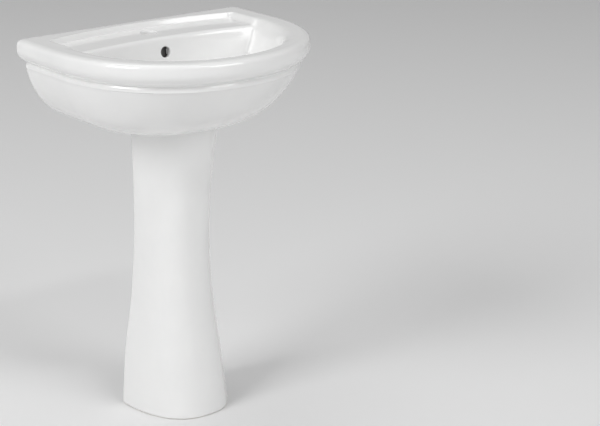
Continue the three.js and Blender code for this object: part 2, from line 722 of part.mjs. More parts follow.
function piece(name, body, look) {
  const mesh = new THREE.Mesh(geometryOf(body), new THREE.MeshStandardMaterial(look));
  mesh.name = name;
  return mesh;
}

const sink = new THREE.Group();
const fromWall = new THREE.Group();
fromWall.position.y = DEPTH / 2;
sink.add(fromWall);
fromWall.add(
  piece('basin', makeBasin(), china),
  piece('pedestal', makePedestal(), china),
  piece('seat_gasket', makeSeatGasket(), paleRubber),
);

const drainAxis = new THREE.Group();
drainAxis.position.y = -DRAIN_DISTANCE;
fromWall.add(drainAxis);
const underSealTop = UNDERSIDE - GAP;
const backnutTop = underSealTop - UNDER_SEAL - GAP;
drainAxis.add(
  piece('waste_body', makeWasteBody(), chrome),
  piece('waste_flange_seal', washer(NUT_BORE, SEAT_RADIUS - 2, FLANGE_Z - GAP, FLANGE_SEAL), rubber),
  piece('waste_under_seal', washer(NUT_BORE, BACKNUT_RADIUS - 2, underSealTop, UNDER_SEAL), rubber),
  piece('waste_backnut', hexNut(NUT_BORE, BACKNUT_RADIUS, backnutTop, BACKNUT_THICKNESS), brass),
  piece('plug_cap', makePlugCap(), china),
  piece('plug_seal', makePlugSeal(), rubber),
  piece('plug_stem', makePlugStem(), steel),
  piece('plug_cartridge', makeCartridge(), whitePlastic),
  piece('trap_inlet_seal', washer(TUBE_RADIUS - TUBE_WALL, WASTE_RADIUS - GAP, WASHER_TOP, WASHER), rubber),
  piece('trap_inlet_nut', makeInletNut(), whitePlastic),
  piece('trap_dip_tube', makeDipTube(), whitePlastic),
  piece('trap_neck_nut', makeNeckNut(), whitePlastic),
  piece('trap_neck_seal', washer(NECK_BORE, NECK_RADIUS - GAP, NECK_TOP + GAP + WASHER, WASHER), rubber),
  piece('trap_body', makeTrapBody(), whitePlastic),
  piece('trap_cup', makeTrapCup(), whitePlastic),
  piece('trap_cup_seal', washer(CUP_INNER, TRAP_RADIUS, BODY_LOW - GAP, WASHER - 2 * GAP), rubber),
);

const outletAxis = new THREE.Group();
outletAxis.position.z = OUTLET_Z;
fromWall.add(outletAxis);
const outletWasher = layDown(washer(TUBE_RADIUS + GAP, STUB_RADIUS - GAP, WASHER, WASHER));
outletAxis.add(
  piece('trap_outlet_nut', makeOutletNut(), whitePlastic),
  piece('trap_outlet_seal', outletWasher.translate(0, -(STUB_END - GAP - WASHER), 0), rubber),
  piece('outlet_tail', makeOutletTail(), whitePlastic),
);

export default sink;
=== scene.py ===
"""Looks of a pedestal sink: a china basin on a china pedestal, with its waste, plug and bottle trap.

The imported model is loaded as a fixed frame, and every piece is modelled where that frame says.
Sizes are millimetres in the classes below and become metres in the meshes. A place on the basin is given
as x across, d from the wall and depth below the rim.
"""

from __future__ import annotations

import logging
import math
from collections.abc import Callable, Iterator, Sequence
from contextlib import contextmanager
from dataclasses import dataclass
from enum import Enum

import bmesh
import bpy
import numpy as np
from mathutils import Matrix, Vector

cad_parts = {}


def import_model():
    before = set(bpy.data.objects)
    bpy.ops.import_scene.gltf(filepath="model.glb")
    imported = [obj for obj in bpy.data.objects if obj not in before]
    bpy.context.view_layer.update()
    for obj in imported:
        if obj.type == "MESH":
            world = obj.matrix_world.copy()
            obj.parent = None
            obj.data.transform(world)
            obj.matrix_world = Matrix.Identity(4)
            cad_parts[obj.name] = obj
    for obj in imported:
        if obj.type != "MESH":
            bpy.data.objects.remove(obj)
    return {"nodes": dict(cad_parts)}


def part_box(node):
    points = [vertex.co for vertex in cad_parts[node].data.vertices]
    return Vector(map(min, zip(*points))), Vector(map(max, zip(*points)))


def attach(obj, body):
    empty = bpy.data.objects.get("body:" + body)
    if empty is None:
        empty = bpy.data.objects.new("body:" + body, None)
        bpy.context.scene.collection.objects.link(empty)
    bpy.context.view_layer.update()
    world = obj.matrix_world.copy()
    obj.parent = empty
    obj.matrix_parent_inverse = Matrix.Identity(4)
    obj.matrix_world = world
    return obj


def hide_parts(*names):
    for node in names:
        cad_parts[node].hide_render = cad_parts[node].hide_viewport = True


log = logging.getLogger("pedestal_sink")

MM = 0.001
FULL_TURN = 2 * math.pi
ALMOST_NONE = 1e-9
RIBS = 24
COLLAR_SHARE = 0.97
COLLAR_STEPS = 96

Object = bpy.types.Object
Point = tuple[float, float]
Point3 = tuple[float, float, float]
Profile = list[Point]


class Body(Enum):
    """The bodies that the pieces ride on."""

    SINK = "sink"
    PLUG = "plug"
    CUP_SEAL = "cup_seal"
    CUP = "cup"


class Slot(Enum):
    """The record's material slots."""

    CHINA = "china"
    PLUG_CHINA = "plug_china"
    GASKET = "gasket"
    SEAL = "seal"
    WASTE_METAL = "waste_metal"
    NUT_METAL = "nut_metal"
    STEM_METAL = "stem_metal"
    PLASTIC = "plastic"


class Side(Enum):
    """The three kinds of stretch in the basin's D outline."""

    BACK = 0
    STRAIGHT = 1
    FRONT = 2


# ---- Workbench: modelling steps that every piece uses ---------------------------------------------------


def pick(obj: Object) -> None:
    """Makes one object the only selected and the active one.

    Args:
        obj: The object.
    """
    bpy.ops.object.select_all(action="DESELECT")
    obj.select_set(True)
    bpy.context.view_layer.objects.active = obj


@contextmanager
def editing(obj: Object, select: str = "VERT") -> Iterator[None]:
    """Opens an object in edit mode and closes it again.

    Args:
        obj: The object to shape.
        select: What is picked in it: VERT, EDGE or FACE.

    Returns:
        A context in which the object is open.
    """
    pick(obj)
    bpy.ops.object.mode_set(mode="EDIT")
    bpy.ops.mesh.select_mode(type=select)
    try:
        yield
    finally:
        bpy.ops.object.mode_set(mode="OBJECT")


def added(name: str) -> Object:
    """Names the primitive that was just added.

    Args:
        name: The name of the object and its mesh.

    Returns:
        The object.
    """
    obj = bpy.context.active_object
    obj.name = name
    obj.data.name = name
    return obj


def modify(obj: Object, kind: str, **settings: object) -> None:
    """Adds one modifier with its settings and applies it.

    Args:
        obj: The object that is changed.
        kind: The modifier's type.
        settings: Its properties by name.
    """
    pick(obj)
    modifier = obj.modifiers.new(kind.lower(), kind)
    for name, value in settings.items():
        setattr(modifier, name, value)
    bpy.ops.object.modifier_apply(modifier=modifier.name)


def cut(obj: Object, tool: Object, operation: str = "DIFFERENCE") -> None:
    """Cuts a tool out of an object, or joins it on, and throws the tool away.

    Args:
        obj: The object that is changed.
        tool: A closed mesh.
        operation: DIFFERENCE or UNION.
    """
    modify(obj, "BOOLEAN", operation=operation, object=tool, solver="MANIFOLD", material_mode="TRANSFER")
    bpy.data.objects.remove(tool)


def settle(obj: Object) -> None:
    """Puts an object's place, turn and size into its mesh."""
    pick(obj)
    bpy.ops.object.transform_apply(location=True, rotation=True, scale=True)


def close_up(obj: Object) -> None:
    """Merges doubled points and turns every face outwards.

    Args:
        obj: The object.
    """
    with editing(obj):
        bpy.ops.mesh.select_all(action="SELECT")
        bpy.ops.mesh.remove_doubles(threshold=1e-6)
        bpy.ops.mesh.normals_make_consistent(inside=False)


def smooth(obj: Object, degrees: float = 32.0) -> None:
    """Shades an object smooth, with sharp edges above an angle."""
    pick(obj)
    bpy.ops.object.shade_smooth_by_angle(angle=math.radians(degrees))


def lay_points(obj: Object, points: np.ndarray) -> None:
    """Writes all points of a mesh, given in metres."""
    obj.data.vertices.foreach_set("co", points.astype(np.float32).ravel())
    obj.data.update()


def points_of(obj: Object) -> np.ndarray:
    """Reads all points of a mesh.

    Args:
        obj: The object.

    Returns:
        Rows of x, y and z.
    """
    points = np.zeros(len(obj.data.vertices) * 3, np.float32)
    obj.data.vertices.foreach_get("co", points)
    return points.reshape(-1, 3)


def number_edge(obj: Object, numbers: np.ndarray) -> None:
    """Keeps a number on every point, so that an edge that is extruded still knows its own order."""
    attribute = obj.data.attributes.new("edge_number", "INT", "POINT")
    attribute.data.foreach_set("value", numbers.astype(np.int32))


def grow(obj: Object, rings: Sequence[np.ndarray]) -> None:
    """Extrudes the open edge of a mesh from ring to ring, and fills the last ring.

    Args:
        obj: A mesh with one open edge, whose points number_edge has numbered.
        rings: The places of the edge's points at each step, in metres, by their numbers.
    """
    with editing(obj, "EDGE"):
        bpy.ops.mesh.select_all(action="DESELECT")
        bpy.ops.mesh.select_non_manifold()
        for ring in rings:
            bpy.ops.mesh.extrude_edges_move()
            mesh = bmesh.from_edit_mesh(obj.data)
            layer = mesh.verts.layers.int["edge_number"]
            for point in mesh.verts:
                if point.select:
                    point.co = ring[point[layer]]
            bmesh.update_edit_mesh(obj.data)
        bpy.ops.mesh.edge_face_add()
    obj.data.attributes.remove(obj.data.attributes["edge_number"])
    close_up(obj)


def turned(name: str, profile: Profile, centre: Vector, steps: int = 64, lying: bool = False) -> Object:
    """Turns a profile round an axis, as on a lathe.

    Args:
        name: The piece's name.
        profile: Points of radius and height in millimetres. It closes on itself.
        centre: The point of the axis at height zero, in metres.
        steps: How many steps go round.
        lying: True for an axis that points away from the wall instead of up.

    Returns:
        The closed piece.
    """
    bpy.ops.mesh.primitive_plane_add(size=MM)
    obj = added(name)
    away = Vector((0, -1, 0)) if lying else Vector((0, 0, 1))
    places = [centre + Vector((radius * MM, 0, 0)) + away * height * MM for radius, height in profile]
    with editing(obj):
        bpy.ops.mesh.select_all(action="SELECT")
        bpy.ops.mesh.merge(type="CENTER")
        bpy.ops.transform.translate(value=places[0])
        for start, end in zip(places, places[1:]):
            bpy.ops.mesh.extrude_vertices_move(TRANSFORM_OT_translate={"value": end - start})
        bpy.ops.mesh.extrude_vertices_move(TRANSFORM_OT_translate={"value": places[0] - places[-1]})
        bpy.ops.mesh.select_all(action="SELECT")
        bpy.ops.mesh.remove_doubles(threshold=1e-7)
        bpy.ops.mesh.select_all(action="SELECT")
        bpy.ops.mesh.spin(steps=steps, angle=FULL_TURN, center=centre, axis=away)
    close_up(obj)
    clear_axis(obj)
    return obj


def clear_axis(obj: Object) -> None:
    """Deletes what a turned profile leaves on its axis: faces without area and the bare edge.

    Args:
        obj: The object.
    """
    with editing(obj):
        bpy.ops.mesh.select_all(action="SELECT")
        bpy.ops.mesh.dissolve_degenerate(threshold=1e-7)
        bpy.ops.mesh.select_all(action="SELECT")
        bpy.ops.mesh.delete_loose(use_verts=True, use_edges=True, use_faces=False)


def rounded(profile: Profile, radius: float, steps: int = 3) -> Profile:
    """Rounds the corners of a closed profile, except those on the axis.

    Args:
        profile: Points of radius and height.
        radius: The rounding, which short edges limit to under half their length.
        steps: How many edges make one rounding.

    Returns:
        The profile with its corners rounded.
    """
    result: Profile = []
    count = len(profile)
    for index, point in enumerate(profile):
        if point[0] < ALMOST_NONE:
            result.append(point)
            continue
        here = np.array(point, float)
        before = np.array(profile[index - 1], float) - here
        after = np.array(profile[(index + 1) % count], float) - here
        reach = min(radius, 0.45 * np.linalg.norm(before), 0.45 * np.linalg.norm(after))
        start = here + before / np.linalg.norm(before) * reach
        end = here + after / np.linalg.norm(after) * reach
        for step in range(steps + 1):
            share = step / steps
            place = (1 - share) ** 2 * start + 2 * share * (1 - share) * here + share**2 * end
            result.append((float(place[0]), float(place[1])))
    return result


def thread(radius: float, low: float, high: float, pitch: float, crest: float) -> Profile:
    """The zigzag of a thread between two heights.

    Args:
        radius: The thread's radius at its roots.
        low: Where it starts.
        high: Where it ends. It may lie below low.
        pitch: The distance from crest to crest.
        crest: How far the crests stand proud.

    Returns:
        Points of radius and height.
    """
    turns = max(1, int(abs(high - low) / pitch))
    step = (high - low) / turns
    points: Profile = []
    for turn in range(turns):
        start = low + turn * step
        points += [(radius, start), (radius + crest, start + 0.4 * step),
                   (radius + crest, start + 0.6 * step)]
    return [*points, (radius, high)]


def rib(obj: Object, middle: Vector, span: Point, lying: bool = False, proud: float = 1.1) -> None:
    """Raises ribs round a turned collar, for the hand to hold.

    Args:
        obj: The turned piece.
        middle: A point of its axis, which is height zero.
        span: The heights between which the ribs stand, in millimetres.
        lying: True for an axis that points away from the wall instead of up.
        proud: How far the ribs stand out, in millimetres.
    """
    points = points_of(obj)
    across = [0, 2] if lying else [0, 1]
    centre = np.array(middle)[across]
    away = points[:, across] - centre
    distance = np.hypot(*away.T)
    height = (middle.y - points[:, 1] if lying else points[:, 2] - middle.z) / MM
    band = (height > span[0]) & (height < span[1]) & (distance > COLLAR_SHARE * distance.max())
    wave = np.clip(np.cos(np.arctan2(away[:, 1], away[:, 0]) * RIBS), 0, 1)
    scale = (distance + np.where(band, wave * proud * MM, 0)) / np.maximum(distance, ALMOST_NONE)
    points[:, across] = centre + away * scale[:, None]
    lay_points(obj, points)


def drill(name: str, radius: float, start: Vector, end: Vector, flare: float = 0.0) -> Object:
    """A round cutting tool with flared mouths, which leaves a hole with rounded lips.

    Args:
        name: The tool's name.
        radius: The hole's radius in millimetres.
        start: Where the axis starts, in metres, on the face where the tool goes in.
        end: Where the axis ends.
        flare: The radius of the lip at the start.

    Returns:
        The tool, a closed mesh.
    """
    length = (end - start).length / MM
    lip = [
        (radius + flare * (1 - math.cos(angle)), flare * (1 - math.sin(angle)))
        for angle in np.linspace(0, math.pi / 2, 7)
    ] if flare else [(radius, 0.0)]
    over = [(radius + flare, -3 * flare - 1.0), (0.0, -3 * flare - 1.0)]
    profile = [(0.0, length), (radius, length), *lip, *over]
    tool = turned(name, profile, Vector((0, 0, 0)), steps=48)
    tool.rotation_mode = "QUATERNION"
    tool.rotation_quaternion = (end - start).to_track_quat("Z", "Y")
    tool.location = start
    settle(tool)
    return tool


def block(name: str, low: Vector, high: Vector, bevel: float = 0.0) -> Object:
    """A box between two corners with rounded edges.

    Args:
        name: The piece's name.
        low: Its lowest corner, in metres.
        high: Its highest corner.
        bevel: The rounding in millimetres.

    Returns:
        The box, with its place in its mesh.
    """
    bpy.ops.mesh.primitive_cube_add(size=1, location=(low + high) / 2)
    obj = added(name)
    obj.scale = high - low
    settle(obj)
    if bevel:
        with editing(obj, "EDGE"):
            bpy.ops.mesh.select_all(action="SELECT")
            bpy.ops.mesh.bevel(offset=bevel * MM, segments=4, affect="EDGES")
    return obj


# ---- Finishes -------------------------------------------------------------------------------------------


class Graph:
    """Short forms for the nodes and links of one node tree."""

    def __init__(self, tree: bpy.types.NodeTree) -> None:
        """Keeps the tree that is filled."""
        self.tree = tree

    def add(self, kind: str, inputs: dict | None = None, **settings: object) -> bpy.types.Node:
        """Adds a node.

        Args:
            kind: The node's type.
            inputs: Values or other nodes' sockets by input name or number.
            settings: The node's own properties.

        Returns:
            The node.
        """
        node = self.tree.nodes.new(kind)
        for name, value in settings.items():
            setattr(node, name, value)
        for name, value in (inputs or {}).items():
            if isinstance(value, bpy.types.NodeSocket):
                self.tree.links.new(value, node.inputs[name])
            else:
                node.inputs[name].default_value = value
        return node

    def noise(
        self, vector: bpy.types.NodeSocket, scale: object, detail: float = 2.0
    ) -> bpy.types.NodeSocket:
        """Adds a noise and returns its value."""
        node = self.add("ShaderNodeTexNoise", {"Vector": vector, "Scale": scale, "Detail": detail})
        return node.outputs["Fac"]

    def between(
        self, value: object, low: float, high: float, to: Point = (0.0, 1.0)
    ) -> bpy.types.NodeSocket:
        """Maps a value smoothly from one span to another."""
        inputs = {"Value": value, "From Min": low, "From Max": high, "To Min": to[0], "To Max": to[1]}
        return self.add("ShaderNodeMapRange", inputs, interpolation_type="SMOOTHSTEP").outputs["Result"]

    def mix(self, share: object, first: object, second: object) -> bpy.types.NodeSocket:
        """Mixes two colours.

        Args:
            share: How much of the second colour there is, as a number or a socket.
            first: One colour or its socket.
            second: The other colour or its socket.

        Returns:
            The mixed colour.
        """
        node = self.add("ShaderNodeMix", {"Factor": share}, data_type="RGBA")
        for socket, value in ((node.inputs[6], first), (node.inputs[7], second)):
            if isinstance(value, bpy.types.NodeSocket):
                self.tree.links.new(value, socket)
            else:
                socket.default_value = value
        return node.outputs[2]

    def math(self, operation: str, first: object, second: object) -> bpy.types.NodeSocket:
        """Adds one sum, product or comparison."""
        return self.add("ShaderNodeMath", {0: first, 1: second}, operation=operation).outputs[0]


class NodeShop:
    """The shader node groups that the finishes share, each built once."""

    def __init__(self) -> None:
        """Builds all groups."""
        self.drift = self._drift()
        self.grain = self._grain()
        self.dust = self._dust()
        # Lightens sharp edges: partly scuffing, partly a painted highlight.
        self.edge_scuff_and_highlight = self._edge_scuff_and_highlight()

    @staticmethod
    def _open(name: str, inputs: dict[str, str], outputs: dict[str, str]) -> tuple[Graph, dict, dict]:
        """Starts a group.

        Args:
            name: The group's name.
            inputs: Socket types by input name.
            outputs: Socket types by output name.

        Returns:
            Its graph, the sockets of its inputs, and the sockets that its outputs take.
        """
        tree = bpy.data.node_groups.new(name, "ShaderNodeTree")
        for label, kind in inputs.items():
            tree.interface.new_socket(label, in_out="INPUT", socket_type=kind)
        for label, kind in outputs.items():
            tree.interface.new_socket(label, in_out="OUTPUT", socket_type=kind)
        graph = Graph(tree)
        given = graph.add("NodeGroupInput").outputs
        taken = graph.add("NodeGroupOutput").inputs
        return graph, {label: given[label] for label in inputs}, {label: taken[label] for label in outputs}

    def _drift(self) -> bpy.types.NodeTree:
        """A colour that wanders slowly between two tones.

        Returns:
            The group.
        """
        graph, given, taken = self._open(
            "ToneDrift",
            {"Vector": "NodeSocketVector", "Scale": "NodeSocketFloat", "Light": "NodeSocketColor",
             "Shade": "NodeSocketColor"},
            {"Color": "NodeSocketColor", "Value": "NodeSocketFloat"},
        )
        share = graph.between(graph.noise(given["Vector"], given["Scale"], 3.0), 0.3, 0.7)
        graph.tree.links.new(graph.mix(share, given["Light"], given["Shade"]), taken["Color"])
        graph.tree.links.new(share, taken["Value"])
        return graph.tree

    def _grain(self) -> bpy.types.NodeTree:
        """A fine relief as a normal, with the value that made it.

        Returns:
            The group.
        """
        graph, given, taken = self._open(
            "FineRelief",
            {"Vector": "NodeSocketVector", "Scale": "NodeSocketFloat", "Height": "NodeSocketFloat"},
            {"Normal": "NodeSocketVector", "Value": "NodeSocketFloat"},
        )
        value = graph.noise(given["Vector"], given["Scale"], 2.0)
        bump = graph.add("ShaderNodeBump", {"Strength": 1.0, "Distance": given["Height"], "Height": value})
        graph.tree.links.new(bump.outputs["Normal"], taken["Normal"])
        graph.tree.links.new(value, taken["Value"])
        return graph.tree

    def _dust(self) -> bpy.types.NodeTree:
        """A mask of the dust that settles on faces that look up.

        Returns:
            The group.
        """
        graph, given, taken = self._open(
            "SettledDust",
            {"Vector": "NodeSocketVector", "Amount": "NodeSocketFloat"},
            {"Mask": "NodeSocketFloat"},
        )
        normal = graph.add("ShaderNodeNewGeometry").outputs["Normal"]
        upward = graph.add("ShaderNodeSeparateXYZ", {0: normal}).outputs["Z"]
        facing = graph.between(upward, 0.35, 0.95)
        cloud = graph.between(graph.noise(given["Vector"], 55.0, 4.0), 0.42, 0.72)
        mask = graph.math("MULTIPLY", graph.math("MULTIPLY", facing, cloud), given["Amount"])
        graph.tree.links.new(mask, taken["Mask"])
        return graph.tree

    def _edge_scuff_and_highlight(self) -> bpy.types.NodeTree:
        """A mask of sharp edges, for scuffing by hands and tools and for a painted highlight along them.

        Returns:
            The group.
        """
        graph, given, taken = self._open(
            "ScuffedEdgesAndPaintedHighlight",
            {"Vector": "NodeSocketVector", "Amount": "NodeSocketFloat"},
            {"Mask": "NodeSocketFloat"},
        )
        # Pointiness picks out sharp edges, which are lightened as scuffing and as a painted highlight.
        edge = graph.between(graph.add("ShaderNodeNewGeometry").outputs["Pointiness"], 0.52, 0.6)
        patch = graph.between(graph.noise(given["Vector"], 140.0, 3.0), 0.35, 0.65)
        mask = graph.math("MULTIPLY", graph.math("MULTIPLY", edge, patch), given["Amount"])
        graph.tree.links.new(mask, taken["Mask"])
        return graph.tree


@dataclass(frozen=True)
class Finish:
    """What all finishes have: a name, two tones of one colour, and a gloss that varies a little."""

    name: str
    light: tuple[float, float, float]
    shade: tuple[float, float, float]
    roughness: Point
    drift_scale: float = 9.0

    def start(self, shop: NodeShop) -> tuple[bpy.types.Material, Graph, bpy.types.Node, bpy.types.Node]:
        """Makes the material with its tone and its gloss.

        Args:
            shop: The shared node groups.

        Returns:
            The material, its graph, the Principled BSDF and the tone's node.
        """
        material = bpy.data.materials.new(self.name)
        material.use_nodes = True
        graph = Graph(material.node_tree)
        surface = next(n for n in material.node_tree.nodes if n.type == "BSDF_PRINCIPLED")
        tone = graph.add("ShaderNodeGroup", node_tree=shop.drift)
        tone.inputs["Scale"].default_value = self.drift_scale
        tone.inputs["Light"].default_value = (*self.light, 1)
        tone.inputs["Shade"].default_value = (*self.shade, 1)
        place = graph.add("ShaderNodeTexCoord").outputs["Object"]
        graph.tree.links.new(place, tone.inputs["Vector"])
        return material, graph, surface, tone

    @staticmethod
    def place(graph: Graph) -> bpy.types.NodeSocket:
        """Returns the object coordinates of a finish that start has begun."""
        return next(n for n in graph.tree.nodes if n.type == "TEX_COORD").outputs["Object"]


@dataclass(frozen=True)
class GlazedChina(Finish):
    """Vitreous china under a thick clear glaze, bare where it stands on the floor or meets the wall."""

    ripple: float = 0.00016
    bare_below: float = 0.002
    bare_behind: float = 1.0
    bare_colour: tuple[float, float, float] = (0.82, 0.805, 0.775)

    def make(self, shop: NodeShop) -> bpy.types.Material:
        """Builds the glaze with its ripple, specks, dust and bare parts.

        Args:
            shop: The shared node groups.

        Returns:
            The material.
        """
        material, graph, surface, tone = self.start(shop)
        place = self.place(graph)
        spot = graph.add("ShaderNodeSeparateXYZ", {0: place})
        low = graph.between(spot.outputs["Z"], self.bare_below, self.bare_below + 0.0015, (1.0, 0.0))
        behind = graph.between(spot.outputs["Y"], self.bare_behind - 0.0012, self.bare_behind)
        bare = graph.math("MAXIMUM", low, behind)
        speck = graph.between(graph.noise(place, 900.0, 1.0), 0.80, 0.84)
        faint = graph.math("MULTIPLY", speck, 0.25)
        speckled = graph.mix(faint, tone.outputs["Color"], (0.42, 0.40, 0.37, 1))
        dust = graph.add("ShaderNodeGroup", {"Vector": place, "Amount": 0.05}, node_tree=shop.dust)
        dusty = graph.mix(dust.outputs["Mask"], speckled, (0.72, 0.71, 0.69, 1))
        colour = graph.mix(bare, dusty, (*self.bare_colour, 1))
        gloss = graph.between(tone.outputs["Value"], 0.0, 1.0, self.roughness)
        clouded = graph.math("ADD", gloss, graph.math("MULTIPLY", dust.outputs["Mask"], 1.5))
        rough = graph.math("MAXIMUM", clouded, graph.math("MULTIPLY", bare, 0.72))
        relief = graph.add("ShaderNodeGroup", {"Vector": place, "Scale": 21.0, "Height": self.ripple},
                           node_tree=shop.grain)
        graph.tree.links.new(colour, surface.inputs["Base Color"])
        graph.tree.links.new(rough, surface.inputs["Roughness"])
        graph.tree.links.new(graph.between(bare, 0.0, 1.0, (0.6, 0.0)), surface.inputs["Coat Weight"])
        graph.tree.links.new(relief.outputs["Normal"], surface.inputs["Normal"])
        surface.inputs["Coat Roughness"].default_value = 0.04
        surface.inputs["IOR"].default_value = 1.52
        return material


@dataclass(frozen=True)
class BareChina(Finish):
    """The matt fired body inside the castings, where no glaze runs; its near-black version in the overflow
    duct is painted shade with some grime.
    """

    relief: float = 0.0003

    def make(self, shop: NodeShop) -> bpy.types.Material:
        """Builds the matt body with its fine relief.

        Args:
            shop: The shared node groups.

        Returns:
            The material.
        """
        material, graph, surface, tone = self.start(shop)
        place = self.place(graph)
        relief = graph.add("ShaderNodeGroup", {"Vector": place, "Scale": 260.0, "Height": self.relief},
                           node_tree=shop.grain)
        gloss = graph.between(relief.outputs["Value"], 0.2, 0.8, self.roughness)
        graph.tree.links.new(tone.outputs["Color"], surface.inputs["Base Color"])
        graph.tree.links.new(gloss, surface.inputs["Roughness"])
        graph.tree.links.new(relief.outputs["Normal"], surface.inputs["Normal"])
        return material


@dataclass(frozen=True)
class Moulded(Finish):
    """Moulded plastic or rubber: a fine skin, lighter sharp edges that are partly scuffing and partly
    painted highlight, and dust on what looks up.
    """

    relief: float = 0.00005
    relief_scale: float = 700.0
    # The colour of sharp edges: scuffing, and partly a painted edge highlight.
    scuffed_and_highlight: tuple[float, float, float] = (0.9, 0.9, 0.89)
    edge_scuff_and_highlight: float = 0.3
    dust: float = 0.25

    def make(self, shop: NodeShop) -> bpy.types.Material:
        """Builds the moulded skin with its scuffed, painted-highlight edges and its dust.

        Args:
            shop: The shared node groups.

        Returns:
            The material.
        """
        material, graph, surface, tone = self.start(shop)
        place = self.place(graph)
        relief = graph.add("ShaderNodeGroup",
                           {"Vector": place, "Scale": self.relief_scale, "Height": self.relief},
                           node_tree=shop.grain)
        # Sharp edges turn lighter: partly scuffing, partly a painted highlight.
        edge_scuff_and_highlight = graph.add("ShaderNodeGroup", {"Vector": place, "Amount": self.edge_scuff_and_highlight}, node_tree=shop.edge_scuff_and_highlight)
        dust = graph.add("ShaderNodeGroup", {"Vector": place, "Amount": self.dust}, node_tree=shop.dust)
        scuffed_and_highlighted = graph.mix(edge_scuff_and_highlight.outputs["Mask"], tone.outputs["Color"], (*self.scuffed_and_highlight, 1))
        colour = graph.mix(dust.outputs["Mask"], scuffed_and_highlighted, (0.55, 0.54, 0.52, 1))
        gloss = graph.between(relief.outputs["Value"], 0.25, 0.75, self.roughness)
        rough = graph.math("ADD", gloss, graph.math("MULTIPLY", dust.outputs["Mask"], 0.5))
        graph.tree.links.new(colour, surface.inputs["Base Color"])
        graph.tree.links.new(rough, surface.inputs["Roughness"])
        graph.tree.links.new(relief.outputs["Normal"], surface.inputs["Normal"])
        return material


@dataclass(frozen=True)
class Metal(Finish):
    """Plated or machined metal, with the fine rings that a lathe leaves."""

    rings: float = 0.00002
    ring_scale: float = 1800.0
    tarnish: tuple[float, float, float] = (0.3, 0.26, 0.2)
    tarnished: float = 0.15

    def make(self, shop: NodeShop) -> bpy.types.Material:
        """Builds the metal with its turned rings and stains.

        Args:
            shop: The shared node groups.

        Returns:
            The material.
        """
        material, graph, surface, tone = self.start(shop)
        place = self.place(graph)
        stretched = graph.add("ShaderNodeMapping", {"Vector": place, "Scale": (0.02, 0.02, 1.0)})
        relief = graph.add("ShaderNodeGroup",
                           {"Vector": stretched.outputs["Vector"], "Scale": self.ring_scale,
                            "Height": self.rings}, node_tree=shop.grain)
        spots = graph.between(graph.noise(place, 180.0, 4.0), 0.55, 0.75)
        stain = graph.math("MULTIPLY", spots, self.tarnished)
        colour = graph.mix(stain, tone.outputs["Color"], (*self.tarnish, 1))
        gloss = graph.between(tone.outputs["Value"], 0.0, 1.0, self.roughness)
        rough = graph.math("ADD", gloss, stain)
        graph.tree.links.new(colour, surface.inputs["Base Color"])
        graph.tree.links.new(rough, surface.inputs["Roughness"])
        graph.tree.links.new(relief.outputs["Normal"], surface.inputs["Normal"])
        surface.inputs["Metallic"].default_value = 1.0
        return material


class Finishes:
    """All finishes of the sink, made once."""

    def __init__(self, wall: float) -> None:
        """Makes them.

        Args:
            wall: How far back the wall's plane is, in metres. The glaze stops just in front of it.
        """
        shop = NodeShop()
        white = {"light": (0.885, 0.885, 0.88), "shade": (0.865, 0.866, 0.863)}
        self.china = GlazedChina("china_glaze", **white, roughness=(0.09, 0.15),
                                 bare_behind=wall - 0.0018).make(shop)
        self.plug = GlazedChina("plug_glaze", **white, roughness=(0.06, 0.10)).make(shop)
        self.bare = BareChina("bare_china", (0.74, 0.725, 0.69), (0.66, 0.64, 0.6), (0.6, 0.85)).make(shop)
        # The duct's near-black tone is painted shade for the dark inside the overflow hole, with some
        # grime.
        duct = BareChina("duct_painted_shade", (0.15, 0.145, 0.14), (0.08, 0.078, 0.075), (0.5, 0.7))
        self.duct = duct.make(shop)
        self.gasket = Moulded("pale_joint_strip", (0.56, 0.56, 0.545), (0.50, 0.50, 0.49), (0.55, 0.75),
                              relief=0.0001, edge_scuff_and_highlight=0.1).make(shop)
        self.seal = Moulded("black_rubber", (0.03, 0.03, 0.032), (0.018, 0.018, 0.02), (0.5, 0.75),
                            scuffed_and_highlight=(0.1, 0.1, 0.1), relief=0.00008).make(shop)
        self.plastic = Moulded("white_trap_plastic", (0.80, 0.80, 0.785), (0.76, 0.76, 0.745),
                               (0.24, 0.36)).make(shop)
        self.chrome = Metal("chrome_plate", (0.78, 0.79, 0.80), (0.70, 0.71, 0.73), (0.05, 0.12),
                            tarnished=0.05).make(shop)
        self.brass = Metal("cast_brass", (0.72, 0.55, 0.24), (0.60, 0.44, 0.18), (0.25, 0.4),
                           tarnished=0.4).make(shop)
        self.steel = Metal("drawn_steel", (0.62, 0.63, 0.64), (0.52, 0.53, 0.54), (0.2, 0.32),
                           rings=0.00004).make(shop)


def hand_over(
    obj: Object, node: str, body: Body, material: bpy.types.Material, degrees: float = 32.0
) -> None:
    """Shades and dresses a piece, and puts it in the place of its CAD node.

    Args:
        obj: The piece.
        node: The CAD node that it stands for.
        body: The body that it rides on.
        material: Its main finish. Faces that a tool has cut keep the tool's own finish.
        degrees: The angle above which an edge stays sharp.
    """
    if obj.data.materials:
        obj.data.materials[0] = material
    else:
        obj.data.materials.append(material)
    smooth(obj, degrees)
    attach(obj, body.value)
    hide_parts(node)
    log.info("%s: %d faces, rides on %s", obj.name, len(obj.data.polygons), body.value)


# ---- Outlines and surfaces of the china -----------------------------------------------------------------


def soft_min(first: np.ndarray, second: np.ndarray, blend: np.ndarray | float) -> np.ndarray:
    """The smaller of two distances, rounded where they are within a blend of each other."""
    share = np.clip(blend - np.abs(first - second), 0, None) / blend
    return np.minimum(first, second) - share**3 * blend / 6


def ease(value: np.ndarray, start: float | np.ndarray, end: float | np.ndarray) -> np.ndarray:
    """A soft step from 0 at start to 1 at end."""
    share = np.clip((value - start) / (end - start), 0, 1)
    return share**3 * (share * (share * 6 - 15) + 10)


def lerp(start: object, end: object, share: object) -> np.ndarray:
    """A value between two others."""
    return start + (end - start) * share


